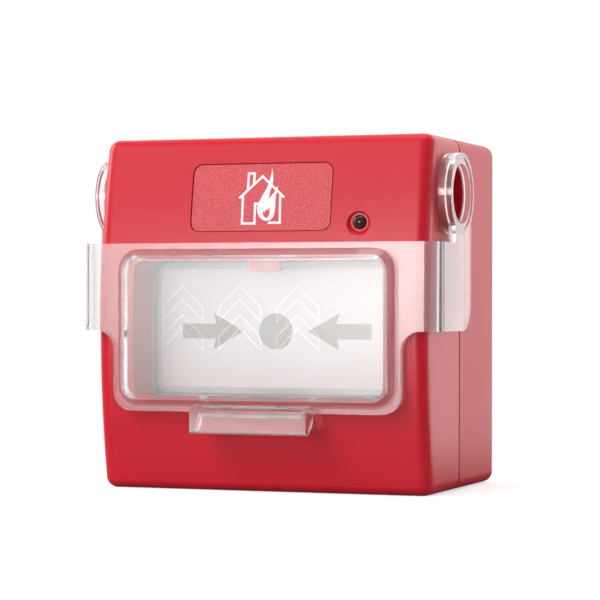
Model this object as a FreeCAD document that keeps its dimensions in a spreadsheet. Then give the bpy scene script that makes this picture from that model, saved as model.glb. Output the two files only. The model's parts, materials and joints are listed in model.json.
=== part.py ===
import FreeCAD, Part
import math
import operator
import os
from types import SimpleNamespace

import Sketcher

# Resettable fire alarm call point for surface mounting.
#
# The origin is the centre of the back face, where the unit meets the wall.
# X runs to the right, Y runs into the wall and Z runs up, so the front looks along -Y.
# All sizes are millimetres.

SIZES = {
    # Housing: back box and bezel
    "HousingWidth": 89.0,
    "HousingHeight": 90.0,
    "BoxDepth": 31.5,
    "BezelDepth": 28.0,
    "WallThickness": 2.2,
    "RearWall": 2.5,
    "FrontRadius": 200.0,
    "FrontCrown": -3.0,
    "SideEdgeRadius": 3.6,
    "TopEdgeRadius": 3.2,
    "BottomEdgeRadius": 2.8,
    "GrooveWidth": 0.8,
    "GrooveDepth": 0.7,
    "TongueLength": 4.0,
    "TongueThickness": 1.4,
    "TongueGap": 0.15,
    "TongueRoot": 1.2,
    # Back box holes and terminals
    "FixingSpacing": 60.3,
    "FixingSlotWidth": 4.4,
    "FixingSlotLength": 8.0,
    "EntryRadius": 10.25,
    "KnockoutRadius": 10.25,
    "KnockoutScore": 1.2,
    "KnockoutLine": 0.8,
    # Window in the bezel
    "WindowWidth": 67.8,
    "WindowTop": 13.6,
    "WindowBottom": -21.0,
    "WindowCorner": 2.5,
    "WindowWall": 1.8,
    "WindowDepth": 11.9,
    "TabWidth": 8.7,
    "TabDrop": 2.7,
    "TabThickness": 2.0,
    "TabSetBack": 5.0,
    # Pictogram plate
    "LabelWidth": 37.4,
    "LabelDrop": 7.1,
    "LabelHeight": 16.9,
    "LabelCorner": 2.3,
    "LabelThickness": 0.8,
    "LabelGap": 0.3,
    "LabelSink": 0.15,
    "LabelRoom": 8.0,
    # Indicator light
    "LightAcross": 26.3,
    "LightRise": 1.9,
    "LensRadius": 1.7,
    "DishRadius": 3.5,
    "DishDepth": 0.8,
    "DomeRise": 0.9,
    "PipeRadius": 1.5,
    "PipeFlange": 2.8,
    # Cover hinge on the bezel's sides
    "HingeAhead": 10.0,
    "HingeDrop": 14.65,
    "HubRadius": 9.1,
    "HubHeight": 1.7,
    "HubDishRadius": 7.2,
    "HubDishDepth": 2.9,
    # Clear cover
    "CoverThickness": 1.9,
    "CoverSideGap": 2.0,
    "CoverGap": 0.4,
    "CoverAbove": 4.3,
    "CoverBelow": 3.7,
    "CoverLowerInset": 6.0,
    "CoverBend": 5.0,
    "CoverCorner": 5.0,
    "ShoulderRadius": 5.0,
    "WingBottom": -4.2,
    "WingAhead": 2.4,
    "WingCorner": 7.5,
    "NeckAhead": 6.1,
    "RingRadius": 10.3,
    "RingLip": 1.15,
    "RingFaceSink": 0.25,
    "RingSideGap": 0.3,
    "EyeRadius": 7.6,
    "RunningGap": 0.1,
    "PaneBeside": 3.2,
    "PaneAbove": 2.8,
    "PaneBelow": 2.4,
    "PaneRise": 2.0,
    "PaneDraft": 40.0,
    "PaneCorner": 5.5,
    "HandleWidth": 31.0,
    "HandleRise": 2.1,
    "HandleDrop": 5.3,
    "HandleReach": 4.6,
    "HandleWall": 1.5,
    # Pressing element and its carrier
    "PlateSetBack": 13.8,
    "PlateThickness": 2.0,
    "PlateBevel": 1.7,
    "PlateSideGap": 0.35,
    "PlateTravel": 3.0,
    "CarrierThickness": 1.6,
    "CarrierInset": 3.0,
    "GuidePinRadius": 1.85,
    "GuidePinReach": 8.0,
    "GuideAcross": 26.0,
    "GuideLow": -15.0,
    "GuideHigh": 7.5,
    # Chassis
    "ChassisSetBack": 22.0,
    "ChassisThickness": 2.0,
    "ChassisMargin": 2.3,
    "FrameWall": 1.6,
    "FrameGap": 0.3,
    "BushWall": 1.7,
    "ScrewSideInset": 6.3,
    "ScrewEndInset": 6.8,
    "BossRadius": 3.2,
    "ScrewRadius": 1.25,
    "ScrewHeadRadius": 2.6,
    "ScrewHeadHeight": 1.8,
    "ScrewLength": 9.0,
    # Alarm flag
    "FlagHalfWidth": 21.0,
    "FlagThickness": 1.1,
    "FlagBladeHeight": 5.0,
    "FlagTailHeight": 11.7,
    "FlagTailWidth": 1.8,
    "FlagDrop": 4.5,
    "FlagRise": 1.2,
    "FlagGap": 0.4,
    "FlagRailHeight": 11.0,
    "FlagArmWidth": 6.0,
    "FlagArmThickness": 1.5,
    "FlagPinRadius": 1.0,
    "FlagPinSetBack": 5.1,
    "CheekThickness": 1.6,
    "SlotGap": 0.15,
    # Reset cam
    "CamAhead": 7.6,
    "CamRadius": 5.0,
    "CamHeight": 6.4,
    "CamFlangeRadius": 6.0,
    "CamFlangeThickness": 1.4,
    "CamThrow": 3.7,
    "CamPinRadius": 1.2,
    "CamPinLength": 4.1,
    "CamFloorGap": 0.4,
    "KeyEntryRadius": 4.9,
    "KeySlotLength": 8.0,
    "KeySlotWidth": 2.4,
    "KeySlotDepth": 4.0,
    # Circuit board and what it carries
    "BoardSetBack": 30.0,
    "BoardThickness": 1.6,
    "BoardSideGap": 8.3,
    "BoardEndGap": 8.8,
    "BoardScrewInset": 5.0,
    "BoardScrewReach": 4.5,
    "SwitchLeft": 6.5,
    "SwitchLength": 12.8,
    "SwitchHeight": 5.8,
    "SwitchDepth": 6.5,
    "LeverPivot": 8.0,
    "LeverLength": 12.0,
    "LeverThickness": 0.4,
    "LeverWidth": 3.6,
    "LeverRise": 0.6,
    "PlungerAcross": 12.0,
    "PlungerRadius": 0.9,
    "PlungerLength": 2.6,
    "TerminalPitch": 5.08,
    "TerminalHeight": 10.5,
    "TerminalDepth": 10.0,
    "TerminalRise": 3.0,
    "DriverHeight": 4.2,
    "DriverBack": 5.0,
    "DriverRadius": 1.9,
    "TerminalScrewRadius": 1.2,
    "TerminalHeadRadius": 1.7,
    "TerminalHeadHeight": 1.6,
    "TerminalHeadSink": 0.8,
    "WireHoleHalf": 1.8,
    "WireHoleFront": 1.6,
    "WireHoleHeight": 4.8,
    "WireHoleDepth": 7.0,
    "ClampGap": 0.1,
    "ClampWall": 0.6,
    "ClampLow": 1.8,
    "ClampHigh": 6.6,
    "LedRadius": 1.5,
    "LedFlange": 1.9,
    "LedHeight": 3.9,
    "LedFlangeHeight": 1.0,
    "ResistorLeft": 24.0,
    "ResistorLow": 4.0,
    "ResistorPitch": 8.0,
    "ResistorLength": 7.0,
    "ResistorRadius": 1.3,
    "ResistorCapLength": 1.6,
    "ResistorCapRadius": 1.5,
    "ResistorLift": 1.6,
    "LeadReach": 2.5,
    "LeadRadius": 0.3,
    "LegRadius": 0.4,
    "LegLength": 2.0,
    # Lock screws in the underside
    "LockAcross": 27.0,
    "LockBehind": 4.5,
    "LockRadius": 1.45,
    "LockHeadRadius": 2.8,
    "LockLength": 9.0,
    "LockBossHalf": 4.0,
    "LockBossHeight": 6.0,
    "LockBossGap": 2.0,
}

doc = FreeCAD.newDocument("call_point")
sheet = doc.addObject("Spreadsheet::Sheet", "Sizes")
for row, (alias, number) in enumerate(SIZES.items(), start=1):
    sheet.set(f"A{row}", alias)
    sheet.set(f"B{row}", str(number))
    sheet.setAlias(f"B{row}", alias)
doc.recompute()


# Sizes that remember the sheet expression they come from

OPERATIONS = {
    "+": operator.add,
    "-": operator.sub,
    "*": operator.mul,
    "/": operator.truediv,
}


class Size:
    """A length or an angle: its number, and the sheet expression that gives it."""

    def __init__(self, value, text):
        self.value = value
        self.text = text

    def __add__(self, other):
        return combine(self, "+", other)

    def __radd__(self, other):
        return combine(other, "+", self)

    def __sub__(self, other):
        return combine(self, "-", other)

    def __rsub__(self, other):
        return combine(other, "-", self)

    def __mul__(self, other):
        return combine(self, "*", other)

    def __rmul__(self, other):
        return combine(other, "*", self)

    def __truediv__(self, other):
        return combine(self, "/", other)

    def __neg__(self):
        return combine(-1.0, "*", self)


def as_size(number):
    if isinstance(number, Size):
        return number
    return Size(float(number), f"({number})")


def combine(left, sign, right):
    left, right = as_size(left), as_size(right)
    value = OPERATIONS[sign](left.value, right.value)
    return Size(value, f"({left.text} {sign} {right.text})")


def root(size):
    return Size(math.sqrt(size.value), f"sqrt({size.text})")


def arc_sine(size):
    """The angle in degrees whose sine is the given ratio."""
    return Size(math.degrees(math.asin(size.value)), f"(asin({size.text}) / 1deg)")


def along_slope(angle, length):
    """How far a run of the given length gets sideways at an angle in degrees."""
    value = math.tan(math.radians(angle.value)) * length.value
    return Size(value, f"(tan({angle.text} * 1deg) * {length.text})")


S = SimpleNamespace(**{alias: Size(value, f"Sizes.{alias}") for alias, value in SIZES.items()})


def bind(obj, prop, size):
    """Set a property from a size, and tie it to the sheet."""
    obj.setExpression(prop, as_size(size).text)


# Part primitives and booleans

TURN_TO = {
    "X": FreeCAD.Rotation(FreeCAD.Vector(0, 1, 0), 90),
    "Y": FreeCAD.Rotation(FreeCAD.Vector(1, 0, 0), -90),
    "Z": FreeCAD.Rotation(),
}


def place(obj, x, y, z):
    bind(obj, "Placement.Base.x", x)
    bind(obj, "Placement.Base.y", y)
    bind(obj, "Placement.Base.z", z)
    return obj


def block(name, x, y, z):
    """A box from three (low, high) pairs."""
    box = doc.addObject("Part::Box", name)
    bind(box, "Length", x[1] - x[0])
    bind(box, "Width", y[1] - y[0])
    bind(box, "Height", z[1] - z[0])
    return place(box, x[0], y[0], z[0])


def rod(name, axis, start, length, radius):
    """A cylinder that starts at a point and runs along an axis."""
    cylinder = doc.addObject("Part::Cylinder", name)
    cylinder.Placement.Rotation = TURN_TO[axis]
    bind(cylinder, "Radius", radius)
    bind(cylinder, "Height", length)
    return place(cylinder, *start)


def taper(name, axis, start, length, radius, end_radius):
    cone = doc.addObject("Part::Cone", name)
    cone.Placement.Rotation = TURN_TO[axis]
    bind(cone, "Radius1", radius)
    bind(cone, "Radius2", end_radius)
    bind(cone, "Height", length)
    return place(cone, *start)


def fuse(name, pieces):
    union = doc.addObject("Part::MultiFuse", name)
    union.Shapes = pieces
    return union


def cut(name, base, tools):
    """A base with one or more tools taken out of it."""
    tool = tools[0] if len(tools) == 1 else fuse(f"{name}_tools", tools)
    difference = doc.addObject("Part::Cut", name)
    difference.Base = base
    difference.Tool = tool
    return difference


def group(name, pieces):
    """Separate solids of one kind that share a sub-part."""
    compound = doc.addObject("Part::Compound", name)
    compound.Links = pieces
    return compound


# Bodies, sketches and features

def new_body(name):
    return doc.addObject("PartDesign::Body", name)


def sketch_on(body, name, role, offset=0):
    """An empty sketch on one of the body's own origin planes, moved along its normal."""
    sketch = body.newObject("Sketcher::SketchObject", name)
    plane = next(item for item in body.Origin.OriginFeatures if item.Role == role)
    sketch.AttachmentSupport = (plane, [""])
    sketch.MapMode = "FlatFace"
    bind(sketch, "AttachmentOffset.Base.z", offset)
    return sketch


def fix(sketch, kind, places, size, name):
    index = sketch.addConstraint(Sketcher.Constraint(kind, *places, size.value))
    sketch.renameConstraint(index, name)
    sketch.setExpression(f"Constraints.{name}", size.text)


def arc_through(start, end, radius, turn):
    """The shorter arc between two points; turn is 1 when it bends to the left."""
    chord = end - start
    half = chord.Length / 2
    lift = math.sqrt(max(radius * radius - half * half, 0.0))
    side = FreeCAD.Vector(-chord.y, chord.x, 0).normalize() * turn
    centre = start + chord * 0.5 + side * lift
    middle = centre - side * radius
    return Part.Arc(start, middle, end)


def outline(sketch, corners):
    """A closed outline through (u, v) corners.

    A corner may also be (u, v, radius, turn): then an arc runs from it to the next corner.
    """
    corners = [tuple(as_size(value) for value in corner[:3]) + tuple(corner[3:]) for corner in corners]
    points = [FreeCAD.Vector(corner[0].value, corner[1].value, 0) for corner in corners]
    ends = []
    first = sketch.GeometryCount
    for index, corner in enumerate(corners):
        start, end = points[index], points[(index + 1) % len(points)]
        if len(corner) == 4:
            sketch.addGeometry(arc_through(start, end, corner[2].value, corner[3]))
            ends.append((1, 2) if corner[3] > 0 else (2, 1))
        else:
            sketch.addGeometry(Part.LineSegment(start, end))
            ends.append((1, 2))
    for index, corner in enumerate(corners):
        here, after = first + index, first + (index + 1) % len(corners)
        leaving, arriving = ends[index][1], ends[(index + 1) % len(corners)][0]
        sketch.addConstraint(Sketcher.Constraint("Coincident", here, leaving, after, arriving))
        fix(sketch, "DistanceX", (-1, 1, here, ends[index][0]), corner[0], f"u{here}")
        fix(sketch, "DistanceY", (-1, 1, here, ends[index][0]), corner[1], f"v{here}")
        if len(corner) == 4:
            fix(sketch, "Radius", (here,), corner[2], f"r{here}")
    return sketch


def rectangle(sketch, u, v):
    return outline(sketch, [(u[0], v[0]), (u[1], v[0]), (u[1], v[1]), (u[0], v[1])])


def rounded_rectangle(sketch, u, v, radius):
    return outline(sketch, [
        (u[0] + radius, v[0]), (u[1] - radius, v[0], radius, 1),
        (u[1], v[0] + radius), (u[1], v[1] - radius, radius, 1),
        (u[1] - radius, v[1]), (u[0] + radius, v[1], radius, 1),
        (u[0], v[1] - radius), (u[0], v[0] + radius, radius, 1),
    ])


def circle(sketch, u, v, radius):
    u, v, radius = as_size(u), as_size(v), as_size(radius)
    centre = FreeCAD.Vector(u.value, v.value, 0)
    index = sketch.addGeometry(Part.Circle(centre, FreeCAD.Vector(0, 0, 1), radius.value))
    fix(sketch, "DistanceX", (-1, 1, index, 3), u, f"u{index}")
    fix(sketch, "DistanceY", (-1, 1, index, 3), v, f"v{index}")
    fix(sketch, "Radius", (index,), radius, f"r{index}")
    return sketch


def feature(body, kind, name, sketch, length, symmetric=False, back=False, draft=None):
    """A Pad or a Pocket of a sketch. A pad goes along the sketch's normal, a pocket against it."""
    made = body.newObject(f"PartDesign::{kind}", name)
    made.Profile = sketch
    bind(made, "Length", length)
    made.SideType = "Symmetric" if symmetric else "One side"
    made.Reversed = back
    if draft is not None:
        bind(made, "TaperAngle", draft)
    sketch.Visibility = False
    doc.recompute()
    return made


def pad(body, name, sketch, length, **options):
    return feature(body, "Pad", name, sketch, length, **options)


def pocket(body, name, sketch, length, **options):
    """A pocket that is checked to take something away."""
    before = body.Shape.Volume
    made = feature(body, "Pocket", name, sketch, length, **options)
    if not body.Shape.Volume < before:
        raise ValueError(f"{name} cuts nothing")
    return made


def edges_where(shape, test):
    """Names of the edges whose bounding box passes a test."""
    return [f"Edge{number}" for number, edge in enumerate(shape.Edges, start=1) if test(edge.BoundBox)]


def in_order(*ends):
    return sorted(ends, key=lambda end: end.value)


def near(value, size, slack=0.05):
    return abs(value - as_size(size).value) < slack


def fillet(body, name, radius, test):
    edges = edges_where(body.Shape, test)
    if not edges:
        raise ValueError(f"{name} finds no edge")
    base = body.Tip
    made = body.newObject("PartDesign::Fillet", name)
    made.Base = (base, edges)
    bind(made, "Radius", radius)
    doc.recompute()
    return made


# Places that several pieces share

half_width = S.HousingWidth / 2
half_height = S.HousingHeight / 2
parting_y = -S.BoxDepth
front_y = parting_y - S.BezelDepth
inner_half_width = half_width - S.WallThickness
inner_half_height = half_height - S.WallThickness
tube_rear_y = front_y + S.WindowDepth
plate_front_y = front_y + S.PlateSetBack
plate_rear_y = plate_front_y + S.PlateThickness
carrier_rear_y = plate_rear_y + S.CarrierThickness
chassis_front_y = front_y + S.ChassisSetBack
chassis_rear_y = chassis_front_y + S.ChassisThickness
board_front_y = front_y + S.BoardSetBack
board_rear_y = board_front_y + S.BoardThickness
hinge_y = parting_y - S.HingeAhead
hinge_z = half_height - S.HingeDrop
label_top = half_height - S.LabelDrop
label_bottom = label_top - S.LabelHeight
light_z = label_bottom + S.LightRise
screw_across = inner_half_width - S.ScrewSideInset
screw_height = inner_half_height - S.ScrewEndInset
board_half_width = inner_half_width - S.BoardSideGap
board_half_height = inner_half_height - S.BoardEndGap
board_screw_across = board_half_width - S.BoardScrewInset
board_screw_height = board_half_height - S.BoardScrewInset
terminal_bottom = S.TerminalRise - board_half_height
window_half = S.WindowWidth / 2
frame_front_y = tube_rear_y + S.FrameGap
cam_y = parting_y - S.CamAhead
lock_y = parting_y + S.LockBehind
cam_bottom_z = -inner_half_height + S.CamFloorGap
cam_pin_reach = root(S.CamThrow * S.CamThrow - S.PlateTravel * S.PlateTravel / 4)
fork_z = cam_bottom_z + S.CamFlangeThickness + S.CamHeight + S.CamPinLength / 2
flag_front_y = tube_rear_y + S.FlagGap
flag_rear_y = flag_front_y + S.FlagThickness
flag_bottom_z = S.WindowTop + S.FlagRise
flag_pin_z = flag_bottom_z + S.FlagBladeHeight - S.FlagArmThickness / 2
flag_pin_y = plate_front_y + S.FlagPinSetBack
SIDES = (-1, 1)


def front_surface_y(z, sink=0):
    """Depth of the curved front at a height, sunk by a little where asked."""
    radius = S.FrontRadius - sink
    rise = z - S.FrontCrown
    return front_y + S.FrontRadius - root(radius * radius - rise * rise)


# Back box: a deep moulded tray with a scored knock-out above and below

def make_back_box():
    body = new_body("back_box")
    tray = rectangle(sketch_on(body, "box_outline", "XZ_Plane"),
                     (-half_width, half_width), (-half_height, half_height))
    pad(body, "box_block", tray, S.BoxDepth)
    round_housing_corners(body, "box")
    lip = rectangle(sketch_on(body, "lip_cut", "XZ_Plane", S.BoxDepth),
                    (-half_width - 5, half_width + 5), (-half_height - 5, half_height + 5))
    rounded_rectangle(lip, (-half_width + S.GrooveDepth, half_width - S.GrooveDepth),
                      (-half_height + S.GrooveDepth, half_height - S.GrooveDepth),
                      S.TopEdgeRadius - S.GrooveDepth)
    pocket(body, "parting_groove", lip, S.GrooveWidth)
    inside = rounded_rectangle(sketch_on(body, "box_inside", "XZ_Plane", S.BoxDepth),
                               (-inner_half_width, inner_half_width),
                               (-inner_half_height, inner_half_height),
                               S.TopEdgeRadius - S.WallThickness)
    pocket(body, "box_cavity", inside, S.BoxDepth - S.RearWall)

    entry = circle(sketch_on(body, "entry_circle", "XZ_Plane", S.RearWall), 0, 0, S.EntryRadius)
    pocket(body, "cable_entry", entry, S.RearWall)
    straight = (S.FixingSlotLength - S.FixingSlotWidth) / 2
    slot_radius = S.FixingSlotWidth / 2
    slots = []
    for side in SIDES:
        middle = side * S.FixingSpacing / 2
        low, high = middle - straight, middle + straight
        slots.append(block("slot_middle", (low, high), (-S.RearWall - 1, as_size(1)),
                           (-slot_radius, slot_radius)))
        for end in (low, high):
            slots.append(rod("slot_end", "Y", (end, -S.RearWall - 1, as_size(0)), S.RearWall + 2, slot_radius))
    scores = []
    for side in SIDES:
        start = side * half_height if side < 0 else half_height - S.KnockoutScore
        middle = (as_size(0), -S.BoxDepth / 2, start)
        outer = rod("score_outer", "Z", middle, S.KnockoutScore, S.KnockoutRadius)
        inner = rod("score_inner", "Z", middle, S.KnockoutScore, S.KnockoutRadius - S.KnockoutLine)
        scores.append(cut("score_ring", outer, [inner]))
    holes = []
    for side in SIDES:
        start = (side * S.LockAcross, lock_y, -half_height)
        holes.append(rod("lock_hole", "Z", start, S.WallThickness, S.LockRadius + 0.3))
        holes.append(taper("lock_sink", "Z", start, S.LockHeadRadius - S.LockRadius,
                           S.LockHeadRadius + 0.2, S.LockRadius + 0.2))
    catches = []
    for side in SIDES:
        across = side * screw_across / 2
        catches.append(block("catch_recess", (across - 4, across + 4),
                             (hook_end_y() - 3.2, hook_end_y() + 0.4),
                             (inner_half_height - 0.5, inner_half_height + 1.2)))
    return cut("back_box_holed", body, slots + scores + holes + catches)


def round_housing_corners(body, name):
    """Round the corners that the box and the bezel share, seen from the front."""
    def runs_back(box, height):
        return box.YLength > 10 and box.XLength < 0.1 and box.ZLength < 0.1 and near(box.ZMin, height)
    fillet(body, f"{name}_top_corners", S.TopEdgeRadius, lambda box: runs_back(box, half_height))
    fillet(body, f"{name}_bottom_corners", S.BottomEdgeRadius, lambda box: runs_back(box, -half_height))


def hook_end_y():
    """Rear end of the bezel's two snap hooks."""
    return parting_y + S.TongueLength + 4


# Bezel: the moulded front with its crowned face, window, hinge hubs and snap hooks

def make_bezel():
    body = new_body("bezel")
    side = outline(sketch_on(body, "bezel_side", "YZ_Plane"), [
        (parting_y, half_height),
        (front_surface_y(half_height), half_height, S.FrontRadius, 1),
        (front_surface_y(-half_height), -half_height),
        (parting_y, -half_height),
    ])
    pad(body, "bezel_block", side, S.HousingWidth, symmetric=True)
    fillet(body, "side_edges", S.SideEdgeRadius,
           lambda box: box.ZLength > S.HousingHeight.value * 0.8 and box.YMin < parting_y.value - 5)
    fillet(body, "top_edge", S.TopEdgeRadius,
           lambda box: box.XLength > S.HousingWidth.value * 0.7 and near(box.ZMin, half_height)
           and box.YMax < parting_y.value - 5)
    fillet(body, "bottom_edge", S.BottomEdgeRadius,
           lambda box: box.XLength > S.HousingWidth.value * 0.7 and near(box.ZMax, -half_height)
           and box.YMax < parting_y.value - 5)
    solid = body.Tip
    back_face = next(f"Face{number}" for number, face in enumerate(solid.Shape.Faces, start=1)
                     if near(face.BoundBox.YMin, parting_y) and near(face.BoundBox.YMax, parting_y))
    hollow = body.newObject("PartDesign::Thickness", "bezel_shell")
    hollow.Base = (solid, [back_face])
    bind(hollow, "Value", S.WallThickness)
    hollow.Reversed = True
    hollow.Mode = "Skin"
    hollow.Join = "Intersection"
    doc.recompute()

    tube_outer = rounded_rectangle(sketch_on(body, "tube_outer", "XZ_Plane", -tube_rear_y),
                                   (-window_half - S.WindowWall, window_half + S.WindowWall),
                                   (S.WindowBottom - S.WindowWall, S.WindowTop + S.WindowWall),
                                   S.WindowCorner + S.WindowWall)
    pad(body, "window_tube", tube_outer, S.WindowDepth - S.WallThickness)
    tube_inner = rounded_rectangle(sketch_on(body, "tube_inner", "XZ_Plane", -front_y),
                                   (-window_half, window_half), (S.WindowBottom, S.WindowTop), S.WindowCorner)
    pocket(body, "window", tube_inner, S.WindowDepth)

    # The seat is a piece of a hollow cylinder, so its floor follows the crowned front.
    tools = [make_label_layer("seat", S.LabelSink + S.LabelThickness, -1, S.LabelGap)]
    light = (S.LightAcross, front_y, light_z)
    face_y = front_surface_y(light_z)
    tools.append(rod("light_hole", "Y", light, as_size(8), S.LensRadius + 0.15))
    tools.append(taper("light_dish", "Y", (S.LightAcross, face_y - 0.4, light_z), S.DishDepth + 0.4,
                       S.DishRadius, S.LensRadius + 0.6))
    tools.append(rod("key_hole", "Z", (as_size(0), cam_y, -half_height), S.WallThickness, S.KeyEntryRadius))

    added = []
    for side in SIDES:
        hub_start = half_width - 0.5 if side > 0 else -half_width - S.HubHeight
        added.append(rod("hub", "X", (hub_start, hinge_y, hinge_z), S.HubHeight + 0.5, S.HubRadius))
        dish_start = half_width + S.HubHeight - S.HubDishDepth if side > 0 else -half_width - S.HubHeight
        tools.append(rod("hub_dish", "X", (dish_start, hinge_y, hinge_z), S.HubDishDepth, S.HubDishRadius))
        for height in (-screw_height, screw_height):
            post = (side * screw_across, front_surface_y(screw_height, 0) + S.WallThickness / 2, height)
            length = chassis_front_y - post[1]
            added.append(rod("chassis_boss", "Y", post, length, S.BossRadius))
            pilot = (post[0], chassis_front_y - S.ScrewLength, height)
            tools.append(rod("chassis_pilot", "Y", pilot, S.ScrewLength, S.ScrewRadius))
        across = side * S.LockAcross
        floor = -inner_half_height + S.TongueGap
        added.append(block("lock_boss", (across - S.LockBossHalf, across + S.LockBossHalf),
                           (chassis_rear_y + S.LockBossGap, lock_y + 3.6), (floor, floor + S.LockBossHeight)))
        tools.append(rod("lock_pilot", "Z", (across, lock_y, floor), S.LockLength - 2.5, S.LockRadius))
        across = side * screw_across / 2
        roof = inner_half_height - S.TongueGap
        added.append(block("snap_hook", (across - 3.5, across + 3.5), (parting_y, hook_end_y()),
                           (roof - S.TongueThickness, roof)))
        added.append(block("hook_nose", (across - 3.5, across + 3.5), (hook_end_y() - 2.5, hook_end_y()),
                           (roof - 0.5, roof + 1)))
    tongue_inset = S.TongueGap + S.TongueThickness
    corner = S.TopEdgeRadius - S.WallThickness - S.TongueGap
    for name, inset, start_y, length in (
        ("tongue_root", -S.WallThickness / 2, parting_y - S.TongueRoot, S.TongueRoot),
        ("tongue", S.TongueGap, parting_y - S.TongueRoot, S.TongueRoot + S.TongueLength),
    ):
        ring = sketch_on(body, f"{name}_ring", "XZ_Plane", -start_y)
        for edge in (inset, tongue_inset):
            rounded_rectangle(ring, (-inner_half_width + edge, inner_half_width - edge),
                              (-inner_half_height + edge, inner_half_height - edge), corner)
        pad(body, name, ring, length, back=True)
    tab_front = front_y + S.TabSetBack
    added.append(block("window_tab", (-S.TabWidth / 2, S.TabWidth / 2), (tab_front, tab_front + S.TabThickness),
                       (S.WindowTop - S.TabDrop, S.WindowTop + 1)))
    return cut("bezel_moulding", fuse("bezel_solids", [body] + added), tools)


def make_label_layer(name, depth, outside, gap):
    """A curved slab under the crowned front: from a depth up to the face, or beyond it."""
    slab = doc.addObject("Part::Cylinder", f"{name}_inner")
    slab.Placement.Rotation = TURN_TO["X"]
    half = S.LabelWidth / 2 + gap
    centre_y = front_y + S.FrontRadius
    bind(slab, "Radius", S.FrontRadius - depth)
    bind(slab, "Height", 2 * half + 2)
    place(slab, -half - 1, centre_y, S.FrontCrown)
    plate = rod(f"{name}_outer", "X", (-half, centre_y, S.FrontCrown), 2 * half,
                S.FrontRadius - as_size(outside))
    window = new_body(f"{name}_window")
    shape = rounded_rectangle(sketch_on(window, f"{name}_shape", "XZ_Plane", -front_y - S.LabelRoom),
                              (-half, half), (label_bottom - gap, label_top + gap), S.LabelCorner + gap)
    pad(window, f"{name}_prism", shape, 1.5 * S.LabelRoom)
    shell = cut(f"{name}_shell", plate, [slab])
    layer = doc.addObject("Part::Common", f"{name}_layer")
    layer.Base = shell
    layer.Tool = window
    return layer


def make_pictogram_plate():
    """Thin plate that carries the pictogram, curved with the front it lies in."""
    return make_label_layer("plate", S.LabelSink + S.LabelThickness - 0.02, S.LabelSink, 0)


# Indicator light: the lens with its light pipe, and the diode behind it

def make_light_pipe():
    body = new_body("light_pipe")
    face_y = front_surface_y(light_z)
    flange_y = face_y + S.WallThickness + 0.4
    dome_y = face_y + 0.5
    end_y = board_front_y - S.LedHeight - 0.4
    dome_radius = (S.LensRadius * S.LensRadius + S.DomeRise * S.DomeRise) / (2 * S.DomeRise)
    profile = outline(sketch_on(body, "pipe_profile", "YZ_Plane", S.LightAcross), [
        (dome_y - S.DomeRise, light_z),
        (end_y, light_z),
        (end_y, light_z + S.PipeRadius),
        (flange_y + 1, light_z + S.PipeRadius),
        (flange_y + 1, light_z + S.PipeFlange),
        (flange_y, light_z + S.PipeFlange),
        (flange_y, light_z + S.LensRadius),
        (dome_y, light_z + S.LensRadius, dome_radius, 1),
    ])
    turned = body.newObject("PartDesign::Revolution", "pipe_turned")
    turned.Profile = profile
    turned.ReferenceAxis = (profile, ["Edge1"])
    turned.Angle = 360
    doc.recompute()
    return body


def make_status_led():
    body = rod("led_body", "Y", (S.LightAcross, board_front_y - S.LedHeight + S.LedRadius, light_z),
               S.LedHeight - S.LedRadius, S.LedRadius)
    flange = rod("led_flange", "Y", (S.LightAcross, board_front_y - S.LedFlangeHeight, light_z),
                 S.LedFlangeHeight, S.LedFlange)
    dome = doc.addObject("Part::Sphere", "led_dome")
    bind(dome, "Radius", S.LedRadius)
    place(dome, S.LightAcross, board_front_y - S.LedHeight + S.LedRadius, light_z)
    return fuse("led_solid", [body, flange, dome])


# Pressing element: the bevelled white plate behind the window

def make_press_plate():
    body = new_body("press_plate")
    across = window_half - S.PlateSideGap
    low, high = S.WindowBottom + S.PlateSideGap, S.WindowTop - S.PlateSideGap
    shape = rounded_rectangle(sketch_on(body, "plate_shape", "XZ_Plane", -plate_rear_y), (-across, across),
                              (low, high), S.WindowCorner)
    pad(body, "plate_block", shape, S.PlateThickness)
    slab = body.Tip
    front_edges = edges_where(slab.Shape, lambda box: near(box.YMax, plate_front_y))
    chamfer = body.newObject("PartDesign::Chamfer", "plate_bevel")
    chamfer.Base = (slab, front_edges)
    chamfer.ChamferType = "Two distances"
    bind(chamfer, "Size", S.PlateThickness * 0.6)
    bind(chamfer, "Size2", S.PlateBevel)
    doc.recompute()
    return body


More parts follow.
